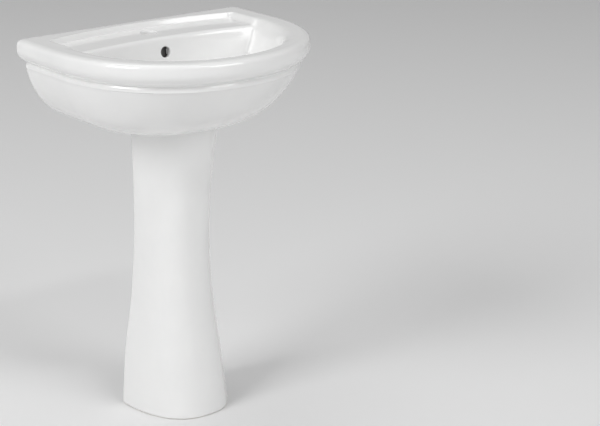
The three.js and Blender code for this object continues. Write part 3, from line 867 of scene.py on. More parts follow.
def along_curve(points: Sequence[Sequence[float]], steps: int) -> np.ndarray:
    """Draws a smooth curve through points.

    Args:
        points: The points that the curve passes, with any number of columns.
        steps: How many steps go between two of them.

    Returns:
        The curve's points.
    """
    knots = np.array(points, float)
    padded = np.vstack([2 * knots[0] - knots[1], knots, 2 * knots[-1] - knots[-2]])
    rows = []
    for before, start, end, after in zip(padded, padded[1:], padded[2:], padded[3:]):
        for share in np.linspace(0, 1, steps, endpoint=False):
            rows.append(0.5 * (2 * start + (end - before) * share
                               + (2 * before - 5 * start + 4 * end - after) * share**2
                               + (3 * start - before - 3 * end + after) * share**3))
    return np.array([*rows, knots[-1]])


@dataclass
class Edge:
    """Points round a D outline: which stretch each is on, how far along it, and on which side."""

    side: np.ndarray
    share: np.ndarray
    sign: np.ndarray

    def __len__(self) -> int:
        """Returns how many points there are."""
        return len(self.side)


@dataclass(frozen=True)
class DShape:
    """A D outline: a flat back, two straight sides and a superellipse for the front."""

    half: float
    back: float
    front: float
    straight: float
    squareness: float = 2.15
    corner: float = 5.0

    def half_at(self, d: np.ndarray) -> np.ndarray:
        """Returns half the width at a distance from the wall."""
        share = np.clip((d - self.straight) / (self.front - self.straight), 0, 1)
        return self.half * (1 - share**self.squareness) ** (1 / self.squareness)

    def angle_at(self, d: np.ndarray) -> np.ndarray:
        """Returns the front's angle at a distance from the wall, from 0 at the end of the straight side."""
        share = np.clip((d - self.straight) / (self.front - self.straight), 0, 1)
        return np.arcsin(share ** (self.squareness / 2))

    def points(self, edge: Edge) -> tuple[np.ndarray, np.ndarray]:
        """Lays an edge on this outline.

        Args:
            edge: The points' stretches and shares.

        Returns:
            Their x and their distance from the wall.
        """
        power = 2 / self.squareness
        cosine, sine = np.cos(edge.share), np.abs(np.sin(edge.share))
        x = np.select(
            [edge.side == Side.BACK.value, edge.side == Side.STRAIGHT.value],
            [edge.share * self.half, edge.sign * self.half],
            -self.half * np.sign(cosine) * np.abs(cosine) ** power,
        )
        d = np.select(
            [edge.side == Side.BACK.value, edge.side == Side.STRAIGHT.value],
            [np.full(len(edge), self.back), lerp(self.back, self.straight, edge.share)],
            self.straight + (self.front - self.straight) * sine**power,
        )
        return self._round_corners(x, d)

    def _round_corners(self, x: np.ndarray, d: np.ndarray) -> tuple[np.ndarray, np.ndarray]:
        """Rounds the two back corners.

        Args:
            x: The outline's x.
            d: Its distances from the wall.

        Returns:
            The rounded outline.
        """
        across = np.clip((np.abs(x) - (self.half - self.corner)) / self.corner, 0, 1)
        along = np.clip((self.back + self.corner - d) / self.corner, 0, 1)
        near = (across > 0) & (along > 0)
        turn = np.where(along > across, across * math.pi / 4, math.pi / 2 - along * math.pi / 4)
        round_x = np.sign(x) * (self.half - self.corner + self.corner * np.sin(turn))
        round_d = self.back + self.corner - self.corner * np.cos(turn)
        return np.where(near, round_x, x), np.where(near, round_d, d)


@dataclass(frozen=True)
class BowlSurface:
    """The top of the basin as a depth below the rim at every place: rim, deck and bowl in one surface."""

    half: float
    front: float
    depth: float
    drain: float
    straight: float = 140.0
    squareness: float = 2.15
    fullness: float = 3.2
    lip: float = 6.0
    deck_drop: float = 12.0
    ridge_middle: float = 23.0
    ridge_ends: float = 52.0
    back_middle: float = 125.0
    back_ends: float = 146.0
    slope_middle: float = 8.0
    slope_ends: float = 20.0
    roll_blend: float = 21.0
    edge_blend: float = 11.0
    foot_blend: Point = (20.0, 9.0)
    seat_radius: float = 31.0
    seat_depth: float = 3.0

    def share(self, x: np.ndarray) -> np.ndarray:
        """Returns how far out a place is, from 0 in the middle to 1 at the bowl's side."""
        return np.clip(np.abs(x) / self.half, 0, 1)

    def ridge(self, x: np.ndarray) -> np.ndarray:
        """Returns the distance from the wall of the deck's arched back edge."""
        return lerp(self.ridge_middle, self.ridge_ends, (x / self.half) ** 2)

    def back(self, x: np.ndarray) -> np.ndarray:
        """Returns the distance from the wall of the deck's front edge."""
        return lerp(self.back_middle, self.back_ends, self.share(x) ** 2)

    def slope(self, x: np.ndarray) -> np.ndarray:
        """Returns the tangent of the back wall's lean from the upright."""
        return np.tan(np.radians(lerp(self.slope_middle, self.slope_ends, self.share(x) ** 1.5)))

    def foot(self, x: np.ndarray) -> np.ndarray:
        """Returns the distance from the wall where the back wall meets the bowl's floor."""
        floor = self.lip + (self.depth - self.lip) * (1 - self.share(x) ** self.fullness)
        return self.back(x) + np.clip(floor - self.deck_drop, 0, None) * self.slope(x)

    def reach(self, x: np.ndarray, d: np.ndarray) -> np.ndarray:
        """Finds which of the bowl's D rings a place is on.

        Args:
            x: Places across.
            d: Distances from the wall.

        Returns:
            1 at the rim and 0 at the drain.
        """
        across = np.abs(x) / self.half
        low = np.maximum(across, 1e-6)
        high = np.full_like(low, 4.0)
        pull = self.drain - self.straight
        span = self.front - self.straight
        for _ in range(34):
            middle = (low + high) / 2
            along = np.clip(d - self.drain + pull * middle, 0, None) / (span * middle)
            outside = (across / middle) ** self.squareness + along**self.squareness > 1
            low, high = np.where(outside, middle, low), np.where(outside, high, middle)
        return (low + high) / 2

    def dish(self, x: np.ndarray, d: np.ndarray) -> np.ndarray:
        """Returns the depth of the dish, which goes on rising outside its rim."""
        return self.lip + (self.depth - self.lip) * (1 - self.reach(x, d) ** self.fullness)

    def back_wall(self, x: np.ndarray, d: np.ndarray) -> np.ndarray:
        """Returns the depth of the back wall's face."""
        return self.deck_drop + (d - self.back(x)) / self.slope(x)

    def deck(self, x: np.ndarray, d: np.ndarray) -> np.ndarray:
        """Measures the rim's top and the deck that is sunk in it.

        Args:
            x: Places across.
            d: Distances from the wall.

        Returns:
            Depths below the rim.
        """
        behind = ease(d, self.ridge(x) - 3.5, self.ridge(x) + 4.5)
        beside = 1 - ease(np.abs(x), self.half - 13, self.half + 10)
        before = 1 - ease(d, self.back_ends + 4, self.back_ends + 40)
        return self.deck_drop * behind * beside * before

    @staticmethod
    def steepness(part: Callable, x: np.ndarray, d: np.ndarray) -> np.ndarray:
        """Measures how steep a face is.

        Args:
            part: The method that gives the face's depth.
            x: Places across.
            d: Distances from the wall.

        Returns:
            The length of a unit of depth measured square to the face, so that 1 is level.
        """
        step = 0.5
        across = (part(x + step, d) - part(x - step, d)) / (2 * step)
        along = (part(x, d + step) - part(x, d - step)) / (2 * step)
        return np.sqrt(1 + across**2 + along**2)

    def surface(self, x: np.ndarray, d: np.ndarray, china: np.ndarray | float = 0.0) -> np.ndarray:
        """Finds the depth of the glazed top, or of the face a thickness of china below it.

        Args:
            x: Places across.
            d: Distances from the wall.
            china: How far into the china the wanted face is.

        Returns:
            The depths.
        """
        faces = [(part(x, d), self.steepness(part, x, d)) for part in
                 (self.dish, self.back_wall, self.deck)]
        foot_blend = lerp(*self.foot_blend, self.share(x) ** 2)
        edge_blend = lerp(self.roll_blend, self.edge_blend, self.deck(x, d) / self.deck_drop)
        low = np.full(np.shape(x), -30.0)
        high = np.full(np.shape(x), self.depth + 80.0)
        for _ in range(34):
            middle = (low + high) / 2
            dish, wall, deck = [(middle - depth) / steep for depth, steep in faces]
            bowl = -soft_min(-dish, -wall, foot_blend)
            deeper = soft_min(bowl, deck, edge_blend) > china
            low, high = np.where(deeper, low, middle), np.where(deeper, middle, high)
        return (low + high) / 2


# ---- Basin ----------------------------------------------------------------------------------------------


@dataclass
class Basin:
    """The china basin, from its rim to the hollow behind it."""

    columns: int = 148
    rows: tuple[int, int, int, int] = (8, 10, 40, 54)
    crowd: float = 0.45
    rim_loop: float = 1.06
    front_start: float = math.radians(38)
    height: float = 181.0
    roll: float = 50.0
    set_back: float = 17.0
    pad_proud: float = 3.0
    china: float = 10.0
    tap: float = 68.0
    tap_radius: float = 17.5
    drain_radius: float = 23.0
    overflow_depth: float = 43.0
    overflow_radius: float = 11.5
    bolt_spacing: float = 280.0
    bolt_depth: float = 95.0
    bolt_radius: float = 7.0
    duct_half: float = 10.0
    duct_wall: float = 8.0
    duct_depth: float = 9.0
    duct_top: float = 34.0
    duct_foot: Point = (166.0, 175.0)
    flush: float = 0.1
    opening_corner: float = 5.0
    access_half: float = 112.0
    access_top: float = 62.0
    rim: tuple[Point, ...] = (
        (0, 20), (0.05, 16), (0.5, 12), (1.7, 7.6), (4.2, 3.2), (9, 0.5), (18, 0), (26, 0.8), (33, 3.6),
        (39.5, 8.8), (43.6, 13.9), (46.2, 17.9), (48.3, 20.6), (50.0, 21.1), (51.8, 20.2), (54.2, 19.0),
        (60, 18.7),
    )

    def __post_init__(self) -> None:
        """Takes the overall sizes from the frame."""
        low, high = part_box("basin")
        drain_low, drain_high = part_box("waste_body")
        self.wall = high.y
        self.top = high.z
        self.half = (high.x - low.x) / 2 / MM
        self.depth = (high.y - low.y) / MM
        self.drain = (self.wall - (drain_low.y + drain_high.y) / 2) / MM
        self.bowl = BowlSurface(half=self.half - 55, front=self.depth - 45, depth=self.height - 21,
                                drain=self.drain)
        reach = self.rim_loop
        self.loop = DShape(
            half=self.bowl.half * reach,
            back=float(self.bowl.ridge(np.array(self.bowl.half * reach))) - 5,
            front=self.drain + (self.bowl.front - self.drain) * reach,
            straight=self.drain + (self.bowl.straight - self.drain) * reach,
        )

    def metres(self, x: np.ndarray, d: np.ndarray, depth: np.ndarray | float) -> np.ndarray:
        """Turns places on the basin into points of the frame."""
        x, d, depth = np.broadcast_arrays(x, d, depth)
        return np.stack([x * MM, self.wall - d * MM, self.top - depth * MM], axis=-1)

    def at(self, x: float, d: float, depth: float) -> Vector:
        """Turns one place on the basin into a point of the frame."""
        return Vector(self.metres(np.array(x), np.array(d), np.array(depth)))

    def lattice(
        self, columns: int, rows: Sequence[int], china: float = 0.0
    ) -> tuple[np.ndarray, np.ndarray]:
        """Lays a net over the deck and the bowl whose rows follow the deck's edges and the wall's foot.

        Args:
            columns: How many columns go across.
            rows: How many rows the back edge, the deck, the back wall and the dish get.
            china: How far into the china the face is that the rows are spaced for.

        Returns:
            The x and the distance from the wall of each crossing, by column and row.
        """
        even = np.linspace(-1, 1, columns + 1)
        spread = lerp(even, np.sin(even * math.pi / 2), self.crowd)[:, None]
        across = self.loop.half * spread
        ridge, edge, foot = self.bowl.ridge(across), self.bowl.back(across), self.bowl.foot(across)
        stations = [ridge - 5, ridge + 6, edge - 9 - china, foot + 20]
        parts = [
            lerp(start, end, np.linspace(0, 1, count, endpoint=False)[None, :])
            for start, end, count in zip(stations[:2], stations[1:3], rows[:2])
        ]
        fine = lerp(stations[2], stations[3], np.linspace(0, 1, 161)[None, :])
        fine_x = self.loop.half_at(fine) * spread
        fine_z = self.bowl.surface(fine_x, fine, china)
        walked = np.cumsum(np.hypot(np.diff(fine), np.diff(fine_z)), axis=1)
        walked = np.hstack([np.zeros((columns + 1, 1)), walked])
        wanted = np.linspace(0, 1, rows[2], endpoint=False)
        parts.append(np.array([np.interp(wanted * w[-1], w, f) for w, f in zip(walked, fine)]))
        d = np.hstack(parts)
        x = self.loop.half_at(d) * spread
        dish_x, dish_d = self._dish_net(self.loop.half_at(stations[3]) * spread, stations[3], even, rows[3])
        return np.hstack([x, dish_x]), np.hstack([d, dish_d])

    def _dish_net(
        self, start_x: np.ndarray, start_d: np.ndarray, even: np.ndarray, count: int
    ) -> tuple[np.ndarray, np.ndarray]:
        """Spans the dish between the wall's foot, the two sides and the front.

        Args:
            start_x: The first row's x.
            start_d: The first row's distance from the wall.
            even: The columns' shares from -1 to 1.
            count: How many rows follow the first.

        Returns:
            The x and the distance from the wall of each crossing.
        """
        share = (1 - (1 - np.linspace(0, 1, count + 1)) ** 1.3)[None, :]
        first_angle = float(self.loop.angle_at(start_d[0, 0]))
        side_angles = lerp(first_angle, self.front_start, share[0])
        front_angles = lerp(self.front_start, math.pi - self.front_start, (even + 1) / 2)
        front = self._front_points(front_angles)
        left = self._front_points(side_angles)
        blend = (even[:, None] + 1) / 2
        nets = []
        for axis, first in enumerate((start_x, start_d)):
            mirror = -1 if axis == 0 else 1
            last = front[axis][:, None]
            straight = lerp(first, last, share)
            left_bulge = left[axis][None, :] - straight[:1]
            right_bulge = mirror * left[axis][None, :] - straight[-1:]
            nets.append(straight + lerp(left_bulge, right_bulge, blend))
        return nets[0], nets[1]

    def _front_points(self, angles: np.ndarray) -> tuple[np.ndarray, np.ndarray]:
        """Returns the x and the distance from the wall of points on the rim loop's front."""
        front = np.full(len(angles), Side.FRONT.value)
        return self.loop.points(Edge(front, angles, np.ones(len(angles))))

    def _sheet(self, name: str, rows: Sequence[int], columns: int, china: float) -> tuple[Object, Edge]:
        """Adds a grid and lays it on the basin's top, or on the face below it.

        Args:
            name: The mesh's name.
            rows: The rows of the four stretches from back to front.
            columns: The number of columns.
            china: How far into the china the face is.

        Returns:
            The mesh and its open edge, whose points are numbered in the edge's order.
        """
        count = sum(rows)
        bpy.ops.mesh.primitive_grid_add(x_subdivisions=columns, y_subdivisions=count, size=2)
        obj = added(name)
        flat = points_of(obj)
        column = np.rint((flat[:, 0] + 1) / 2 * columns).astype(int)
        row = np.rint((flat[:, 1] + 1) / 2 * count).astype(int)
        net_x, net_d = self.lattice(columns, rows, china)
        x, d = net_x[column, row], net_d[column, row]
        lay_points(obj, self.metres(x, d, self.bowl.surface(x, d, self.thickness(x, d) if china else 0.0)))
        rim = (column == 0) | (column == columns) | (row == 0) | (row == count)
        numbers = np.full(len(flat), -1)
        numbers[rim] = np.arange(rim.sum())
        number_edge(obj, numbers)
        return obj, self._edge_of(x[rim], d[rim], row[rim] == 0)

    def _edge_of(self, x: np.ndarray, d: np.ndarray, at_back: np.ndarray) -> Edge:
        """Reads which stretch of the D outline each point of the rim loop is on.

        Args:
            x: The points' x.
            d: Their distances from the wall.
            at_back: Which of them are on the back.

        Returns:
            The edge.
        """
        straight = (d <= self.loop.straight) & ~at_back
        side = np.where(at_back, Side.BACK.value, np.where(straight, Side.STRAIGHT.value, Side.FRONT.value))
        sign = np.where(x < 0, -1.0, 1.0)
        half_share = x / self.loop.half
        side_share = (d - self.loop.back) / (self.loop.straight - self.loop.back)
        angle = self.loop.angle_at(d)
        flat_front = np.arccos(np.clip(np.abs(x) / self.loop.half, 0, 1) ** (self.loop.squareness / 2))
        angle = np.where(angle > math.pi / 4, flat_front, angle)
        turn = np.where(x < 0, angle, math.pi - angle)
        share = np.select([at_back, straight], [half_share, side_share], turn)
        return Edge(side, share, sign)

    def thickness(self, x: np.ndarray, d: np.ndarray) -> np.ndarray:
        """Measures the china under the top: more under the deck and round the overflow's duct.

        Args:
            x: Places across.
            d: Distances from the wall.

        Returns:
            Thicknesses in millimetres.
        """
        deck = 3 * self.bowl.deck(x, d) / self.bowl.deck_drop
        duct = 16 * (1 - ease(np.abs(x), 16, 24)) * (1 - ease(d, self.drain - 26, self.drain - 10))
        return self.china + deck + duct

    def ring(self, edge: Edge, depth: float, side: float, front: float, back: float) -> np.ndarray:
        """Lays the edge on a ring of the basin's outside, moved inwards from the widest outline.

        Args:
            edge: The points of the ring.
            depth: The ring's depth below the rim.
            side: How far its sides are moved inwards.
            front: How far its front is.
            back: How far its back is from the wall.

        Returns:
            The points in metres.
        """
        outline = DShape(self.half - side, back, self.depth - front, self.bowl.straight)
        x, d = outline.points(edge)
        on_back = edge.side == Side.BACK.value
        pad = ease(np.abs(x), 112, 131) * (1 - ease(np.abs(x), 231, 250))
        tall = float(ease(np.array(depth), 9, 14) * (1 - ease(np.array(depth), 146, 154)))
        return self.metres(x, np.where(on_back, d - self.pad_proud * pad * tall, d), depth)

    def rim_rows(self) -> np.ndarray:
        """Returns the rolled rim's rows: depth and inset."""
        return along_curve(self.rim, 3)

    def skin_rows(self, count: int, start: float = 4.8) -> list[tuple[float, float, float]]:
        """Returns the outer skin's rows below the rim.

        Args:
            count: How many steps there are.
            start: The angle of the first row, in degrees.

        Returns:
            Each row's depth, side inset and front inset.
        """
        rows = []
        for angle in np.radians(np.linspace(start, 90, count + 1)):
            down = math.sin(angle)
            tuck = 1 - (1 - down**2.2) ** (1 / 2.2)
            rows.append((self.roll + (self.height - self.roll) * down,
                         self.set_back + 25 * down + 110 * tuck,
                         self.set_back + 71 * down + 93 * tuck))
        return rows

    def build(self, finishes: Finishes) -> Object:
        """Models the basin.

        Args:
            finishes: All finishes of the sink.

        Returns:
            The piece, before it is handed over.
        """
        obj, edge = self._sheet("Basin", self.rows, self.columns, 0.0)
        grow(obj, self._outside_rings(edge))
        obj.data.materials.append(finishes.china)
        for tool in (self._hollow(), self._access()):
            tool.data.materials.clear()
            tool.data.materials.append(finishes.bare)
            cut(obj, tool)
        for tool in self._drills():
            # The duct's faces take the near-black duct finish: painted shade inside the overflow hole.
            tool.data.materials.append(finishes.duct if tool.name.startswith("duct") else finishes.china)
            cut(obj, tool)
        return obj

    def _outside_rings(self, edge: Edge) -> list[np.ndarray]:
        """Lays the rings that lead from the rim loop over the roll and down to the underside.

        Args:
            edge: The points round the outline.

        Returns:
            The rings' points in metres.
        """
        inner_x, inner_d = self.loop.points(edge)
        on_back = edge.side == Side.BACK.value
        inner_d = np.where(on_back, self.bowl.ridge(inner_x) - 5, inner_d)
        first = self.ring(edge, 0.0, self.rim[0][1], self.rim[0][1], self.pad_proud + 5)
        outer_x, outer_d = first[:, 0] / MM, (self.wall - first[:, 1]) / MM
        rings = []
        for share in (0.33, 0.66):
            x, d = lerp(inner_x, outer_x, share), lerp(inner_d, outer_d, share)
            rings.append(self.metres(x, d, self.bowl.surface(x, d)))
        for depth, inset in self.rim_rows():
            fall = max(0.0, 1 - depth / 4.2)
            back = self.pad_proud + 5 * (1 - math.sqrt(max(0.0, 1 - fall**2)))
            rings.append(self.ring(edge, depth, inset, inset, back))
        skin = self.skin_rows(26)
        rings += [self.ring(edge, depth, side, front, self.pad_proud) for depth, side, front in skin]
        depth, side, front = skin[-1]
        return [*rings, self.ring(edge, depth, side + 4, front + 4, self.pad_proud + 4)]

    def _hollow(self) -> Object:
        """Models the space between the outer skin and the bowl.

        Returns:
            The tool.
        """
        count = 150
        side = np.repeat([Side.BACK.value, Side.STRAIGHT.value, Side.FRONT.value, Side.STRAIGHT.value],
                         [30, 10, 100, 10])
        back = np.linspace(1, -1, 30, endpoint=False)
        left = np.linspace(0, 1, 10, endpoint=False)
        share = np.concatenate([back, left, np.linspace(0, math.pi, 100, endpoint=False), 1 - left])
        edge = Edge(side, share, np.concatenate([np.ones(30), -np.ones(10), np.ones(110)]))
        back_face = self.pad_proud + self.china
        rows = [(14.0, 16.0, 16.0), (25.0, 14.0, 14.0), (self.roll, self.set_back + 13, self.set_back + 13)]
        floor = self.bowl.depth + self.china / 2
        for depth, side_inset, front_inset in self.skin_rows(16, 9.0):
            down = (depth - self.roll) / (self.height - self.roll)
            inward = self.china * math.sqrt(1 - down**2)
            lifted = depth - self.china * down
            if depth > self.roll + self.china and lifted < floor:
                rows.append((lifted, side_inset + inward, front_inset + inward))
        rings = [self.ring_plain(edge, *row, back_face) for row in rows]
        bpy.ops.mesh.primitive_circle_add(vertices=count, radius=1, fill_type="NGON")
        hollow = added("hollow_tool")
        lay_points(hollow, rings[0])
        number_edge(hollow, np.arange(count))
        grow(hollow, rings[1:])
        cut(hollow, self._bowl_block())
        return hollow

    def ring_plain(self, edge: Edge, depth: float, side: float, front: float, back: float) -> np.ndarray:
        """Lays an edge on a ring without the wall pads."""
        x, d = DShape(self.half - side, back, self.depth - front, self.bowl.straight).points(edge)
        return self.metres(x, d, depth)

    def _bowl_block(self) -> Object:
        """Models a block whose underside is the lower face of the bowl and the deck.

        Returns:
            The tool.
        """
        block_tool, edge = self._sheet("bowl_tool", (4, 6, 22, 24), 64, self.china)
        x, d = DShape(self.half + 30, -30, self.depth + 30, self.bowl.straight).points(edge)
        grow(block_tool, [self.metres(x, d, self.china), self.metres(x, d, -40.0)])
        return block_tool

    def _access(self) -> Object:
        """Models the opening in the back and the underside, which leaves the bowl and the duct whole.

        Returns:
            The tool.
        """
        low = self.at(-self.access_half, self.bowl.back_middle - self.china, self.height + 6)
        high = self.at(self.access_half, -6, self.access_top)
        access = block("access_tool", low, high, bevel=self.opening_corner)
        cut(access, self._bowl_block())
        return access

    def _drills(self) -> list[Object]:
        """Models the tools for the drain, the tap hole, the overflow with its duct, and the wall bolts.

        Returns:
            The tools in the order of cutting.
        """
        bowl = self.bowl
        zero = np.array(0.0)
        wall_d = float(bowl.back(zero) + (self.overflow_depth - bowl.deck_drop) * bowl.slope(zero))
        lean = math.radians(bowl.slope_middle)
        mouth = self.at(0, wall_d + 0.4, self.overflow_depth)
        inward = Vector((0, math.cos(lean), -math.sin(lean)))
        slope = float(bowl.slope(zero))
        near, far = wall_d - self.duct_wall, wall_d - self.duct_wall - self.duct_depth
        roof, floor = self.duct_foot
        duct = block("duct_tool", self.at(-self.duct_half, near, floor - 1),
                     self.at(self.duct_half, far, self.duct_top), bevel=2)
        points = points_of(duct)
        points[:, 1] -= ((self.top - points[:, 2]) - self.overflow_depth * MM) * slope
        lay_points(duct, points)
        foot = far + (floor - 1 - self.overflow_depth) * slope
        channel = block("duct_tool", self.at(-self.duct_half, self.drain - 18, floor),
                        self.at(self.duct_half, foot, roof), bevel=2)
        bolts = [
            drill("bolt_tool", self.bolt_radius, self.at(x, -self.flush, self.bolt_depth),
                  self.at(x, 20, self.bolt_depth), flare=1.0)
            for x in (-self.bolt_spacing / 2, self.bolt_spacing / 2)
        ]
        return [
            drill("seat_tool", bowl.seat_radius, self.at(0, self.drain, bowl.depth),
                  self.at(0, self.drain, bowl.depth + bowl.seat_depth), flare=1.5),
            drill("drain_tool", self.drain_radius, self.at(0, self.drain, bowl.depth + bowl.seat_depth),
                  self.at(0, self.drain, self.height + 5)),
            drill("tap_tool", self.tap_radius, self.at(0, self.tap, bowl.deck_drop - self.flush),
                  self.at(0, self.tap, bowl.deck_drop + 30), flare=2.2),
            duct,
            channel,
            drill("overflow_tool", self.overflow_radius, mouth, mouth + inward * 14 * MM, flare=2.4),
            *bolts,
        ]


# ---- Pedestal -------------------------------------------------------------------------------------------


@dataclass
class Pedestal:
    """The hollow china pedestal, and the soft strip between it and the basin."""

    columns: int = 150
    levels: int = 72
    wall_thickness: float = 13.0
    squareness: float = 2.4
    channel_half: float = 52.0
    corner: float = 5.0
    lug: Point3 = (33.0, 40.0, 16.0)
    lug_distance: float = 60.0
    screw_radius: float = 4.0
    screw_inset: float = 18.0
    strip_columns: int = 90
    foot_round: float = 4.5
    top_round: float = 2.5
    room: float = 14.5
    trap_radius: float = 27.0
    half_widths: tuple[float, ...] = (108.5, 100, 86, 79.5, 80.5, 86)
    flare: tuple[float, ...] = (42.5, 21.5, 3.5, 0, 11.5, 36.5)
    rear: tuple[float, ...] = (91, 87, 78, 71, 65, 60)

    def __post_init__(self) -> None:
        """Takes the height and the place from the frame."""
        _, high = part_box("pedestal")
        _, basin_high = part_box("basin")
        drain_low, drain_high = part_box("waste_body")
        self.height = high.z / MM
        self.wall = basin_high.y
        self.drain = (self.wall - (drain_low.y + drain_high.y) / 2) / MM
        self.curve = along_curve(list(zip(self.half_widths, self.flare, self.rear)), 24)

    def outline(self, z: float, inset: float) -> tuple[float, float, float]:
        """Measures the section at a height.

        Args:
            z: The height.
            inset: How far inside the outer face it is measured.

        Returns:
            Half the width, the front and the back.
        """
        place = np.clip(z / self.height, 0, 1) * (len(self.curve) - 1)
        stations = np.arange(len(self.curve))
        half, flare, rear = (np.interp(place, stations, column) for column in self.curve.T)
        front = self.drain + self.trap_radius + self.room + flare
        return half - inset, front - inset, self.drain - rear + inset

    def path(self, share: np.ndarray, z: float, inset: float) -> tuple[np.ndarray, np.ndarray]:
        """Walks round the section from one lip of the channel to the other.

        Args:
            share: How far along each point is, from -1 to 1.
            z: The height of the section.
            inset: How far inside the outer face the path is.

        Returns:
            The x and the distance from the wall of each point.
        """
        half, front, back = self.outline(z, inset)
        lips = 0.13
        bend = back + self.corner
        angle = np.clip((share + 1 - lips) / (2 - 2 * lips), 0, 1) * math.pi
        power = 2 / self.squareness
        x = -half * np.sign(np.cos(angle)) * np.abs(np.cos(angle)) ** power
        d = bend + (front - bend) * np.abs(np.sin(angle)) ** power
        edge = np.clip((np.abs(share) - (1 - lips)) / lips, 0, 1)
        turn = np.clip(edge / 0.4, 0, 1) * math.pi / 2
        lip_x = half - self.corner + self.corner * np.cos(turn)
        run = np.clip((edge - 0.4) / 0.6, 0, 1)
        lip_x = np.where(run > 0, lerp(half - self.corner, self.channel_half, run), lip_x)
        lip_d = back + self.corner - self.corner * np.sin(turn)
        return np.where(edge > 0, np.sign(share) * lip_x, x), np.where(edge > 0, lip_d, d)

    def section(self, along: np.ndarray, through: np.ndarray, z: float, trim: float) -> np.ndarray:
        """Lays points in the wall's section.

        Args:
            along: How far round each point is, from -1 to 1.
            through: How far through the wall it is, -1 outside and 1 inside.
            z: The height, in millimetres.
            trim: How much thinner the wall is on each side.

        Returns:
            The points in metres.
        """
        outer_x, outer_d = self.path(along, z, trim)
        inner_x, inner_d = self.path(along, z, self.wall_thickness - trim)
        share = (through + 1) / 2
        x, d = lerp(outer_x, inner_x, share), lerp(outer_d, inner_d, share)
        return np.stack([x * MM, self.wall - d * MM, np.full(len(x), z * MM)], axis=-1)

    def strip(self, name: str, rings: Sequence[Point], columns: int, raised: float = 0.0) -> Object:
        """Builds a piece with the wall's section from a grid.

        Args:
            name: The piece's name.
            rings: Each ring's height and trim. The first one is the grid itself.
            columns: How many columns go round.
            raised: How far the piece stands above its rings' heights, in millimetres.

        Returns:
            The closed piece.
        """
        bpy.ops.mesh.primitive_grid_add(x_subdivisions=columns, y_subdivisions=3, size=2)
        obj = added(name)
        lift = np.array((0, 0, raised * MM))
        flat = points_of(obj)
        along, through = flat[:, 0], flat[:, 1]
        rim = (np.abs(along) > 1 - 1e-4) | (np.abs(through) > 1 - 1e-4)
        numbers = np.full(len(flat), -1)
        numbers[rim] = np.arange(rim.sum())
        number_edge(obj, numbers)

        lay_points(obj, self.section(along, through, *rings[0]) + lift)
        grow(obj, [self.section(along[rim], through[rim], *ring) + lift for ring in rings[1:]])
        return obj

    def build(self, finishes: Finishes) -> Object:
        """Models the pedestal with its floor lugs.

        Args:
            finishes: All finishes of the sink.

        Returns:
            The piece.
        """
        foot = [(self.foot_round * (1 - math.cos(a)), self.foot_round * (1 - math.sin(a)))
                for a in np.linspace(0, math.pi / 2, 6)]
        top = [(self.height - self.top_round * (1 - math.sin(a)), self.top_round * (1 - math.cos(a)))
               for a in np.linspace(0, math.pi / 2, 6)]
        body = [(z, 0.0) for z in np.linspace(foot[-1][0], top[0][0], self.levels)[1:-1]]
        obj = self.strip("Pedestal", [*foot, *body, *top], self.columns)
        obj.data.materials.append(finishes.china)
        for side in (-1, 1):
            cut(obj, self._lug(side, finishes), "UNION")
        return obj

    def _lug(self, side: int, finishes: Finishes) -> Object:
        """Models one lug inside the foot, with its screw hole.

        Args:
            side: -1 for the left one and 1 for the right one.
            finishes: All finishes of the sink.

        Returns:
            The lug.
        """
        width, depth, height = self.lug
        outer = self.half_widths[0] - self.wall_thickness + 4
        middle = self.drain - self.rear[0] + self.lug_distance
        edges = sorted((side * outer, side * (outer - width)))
        low = Vector((edges[0] * MM, self.wall - (middle + depth / 2) * MM, 0.0))
        high = Vector((edges[1] * MM, self.wall - (middle - depth / 2) * MM, height * MM))
        lug = block("lug_tool", low, high, bevel=3)
        foot = Vector((side * (outer - self.screw_inset) * MM, self.wall - middle * MM, 0))
        top = foot + Vector((0, 0, (height + 0.1) * MM))
        cut(lug, drill("screw_tool", self.screw_radius, top, foot - Vector((0, 0, MM)), 1.5))
        lug.data.materials.clear()
        lug.data.materials.append(finishes.china)
        return lug

    def build_strip(self) -> Object:
        """Models the soft strip on the pedestal's top edge.

        Returns:
            The piece.
        """
        low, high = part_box("seat_gasket")
        base, thickness = low.z / MM, (high.z - low.z) / MM
        rings = [(0.0, 2.8), (0.4, 2.2), (1.0, 2.0), (thickness - 1.0, 2.0), (thickness - 0.4, 2.2),
                 (thickness, 2.8)]
        top = self.height
        rings = [(top + z, trim) for z, trim in rings]
        return self.strip("Joint_strip", rings, self.strip_columns, base - top)


# ---- Waste, plug and trap -------------------------------------------------------------------------------


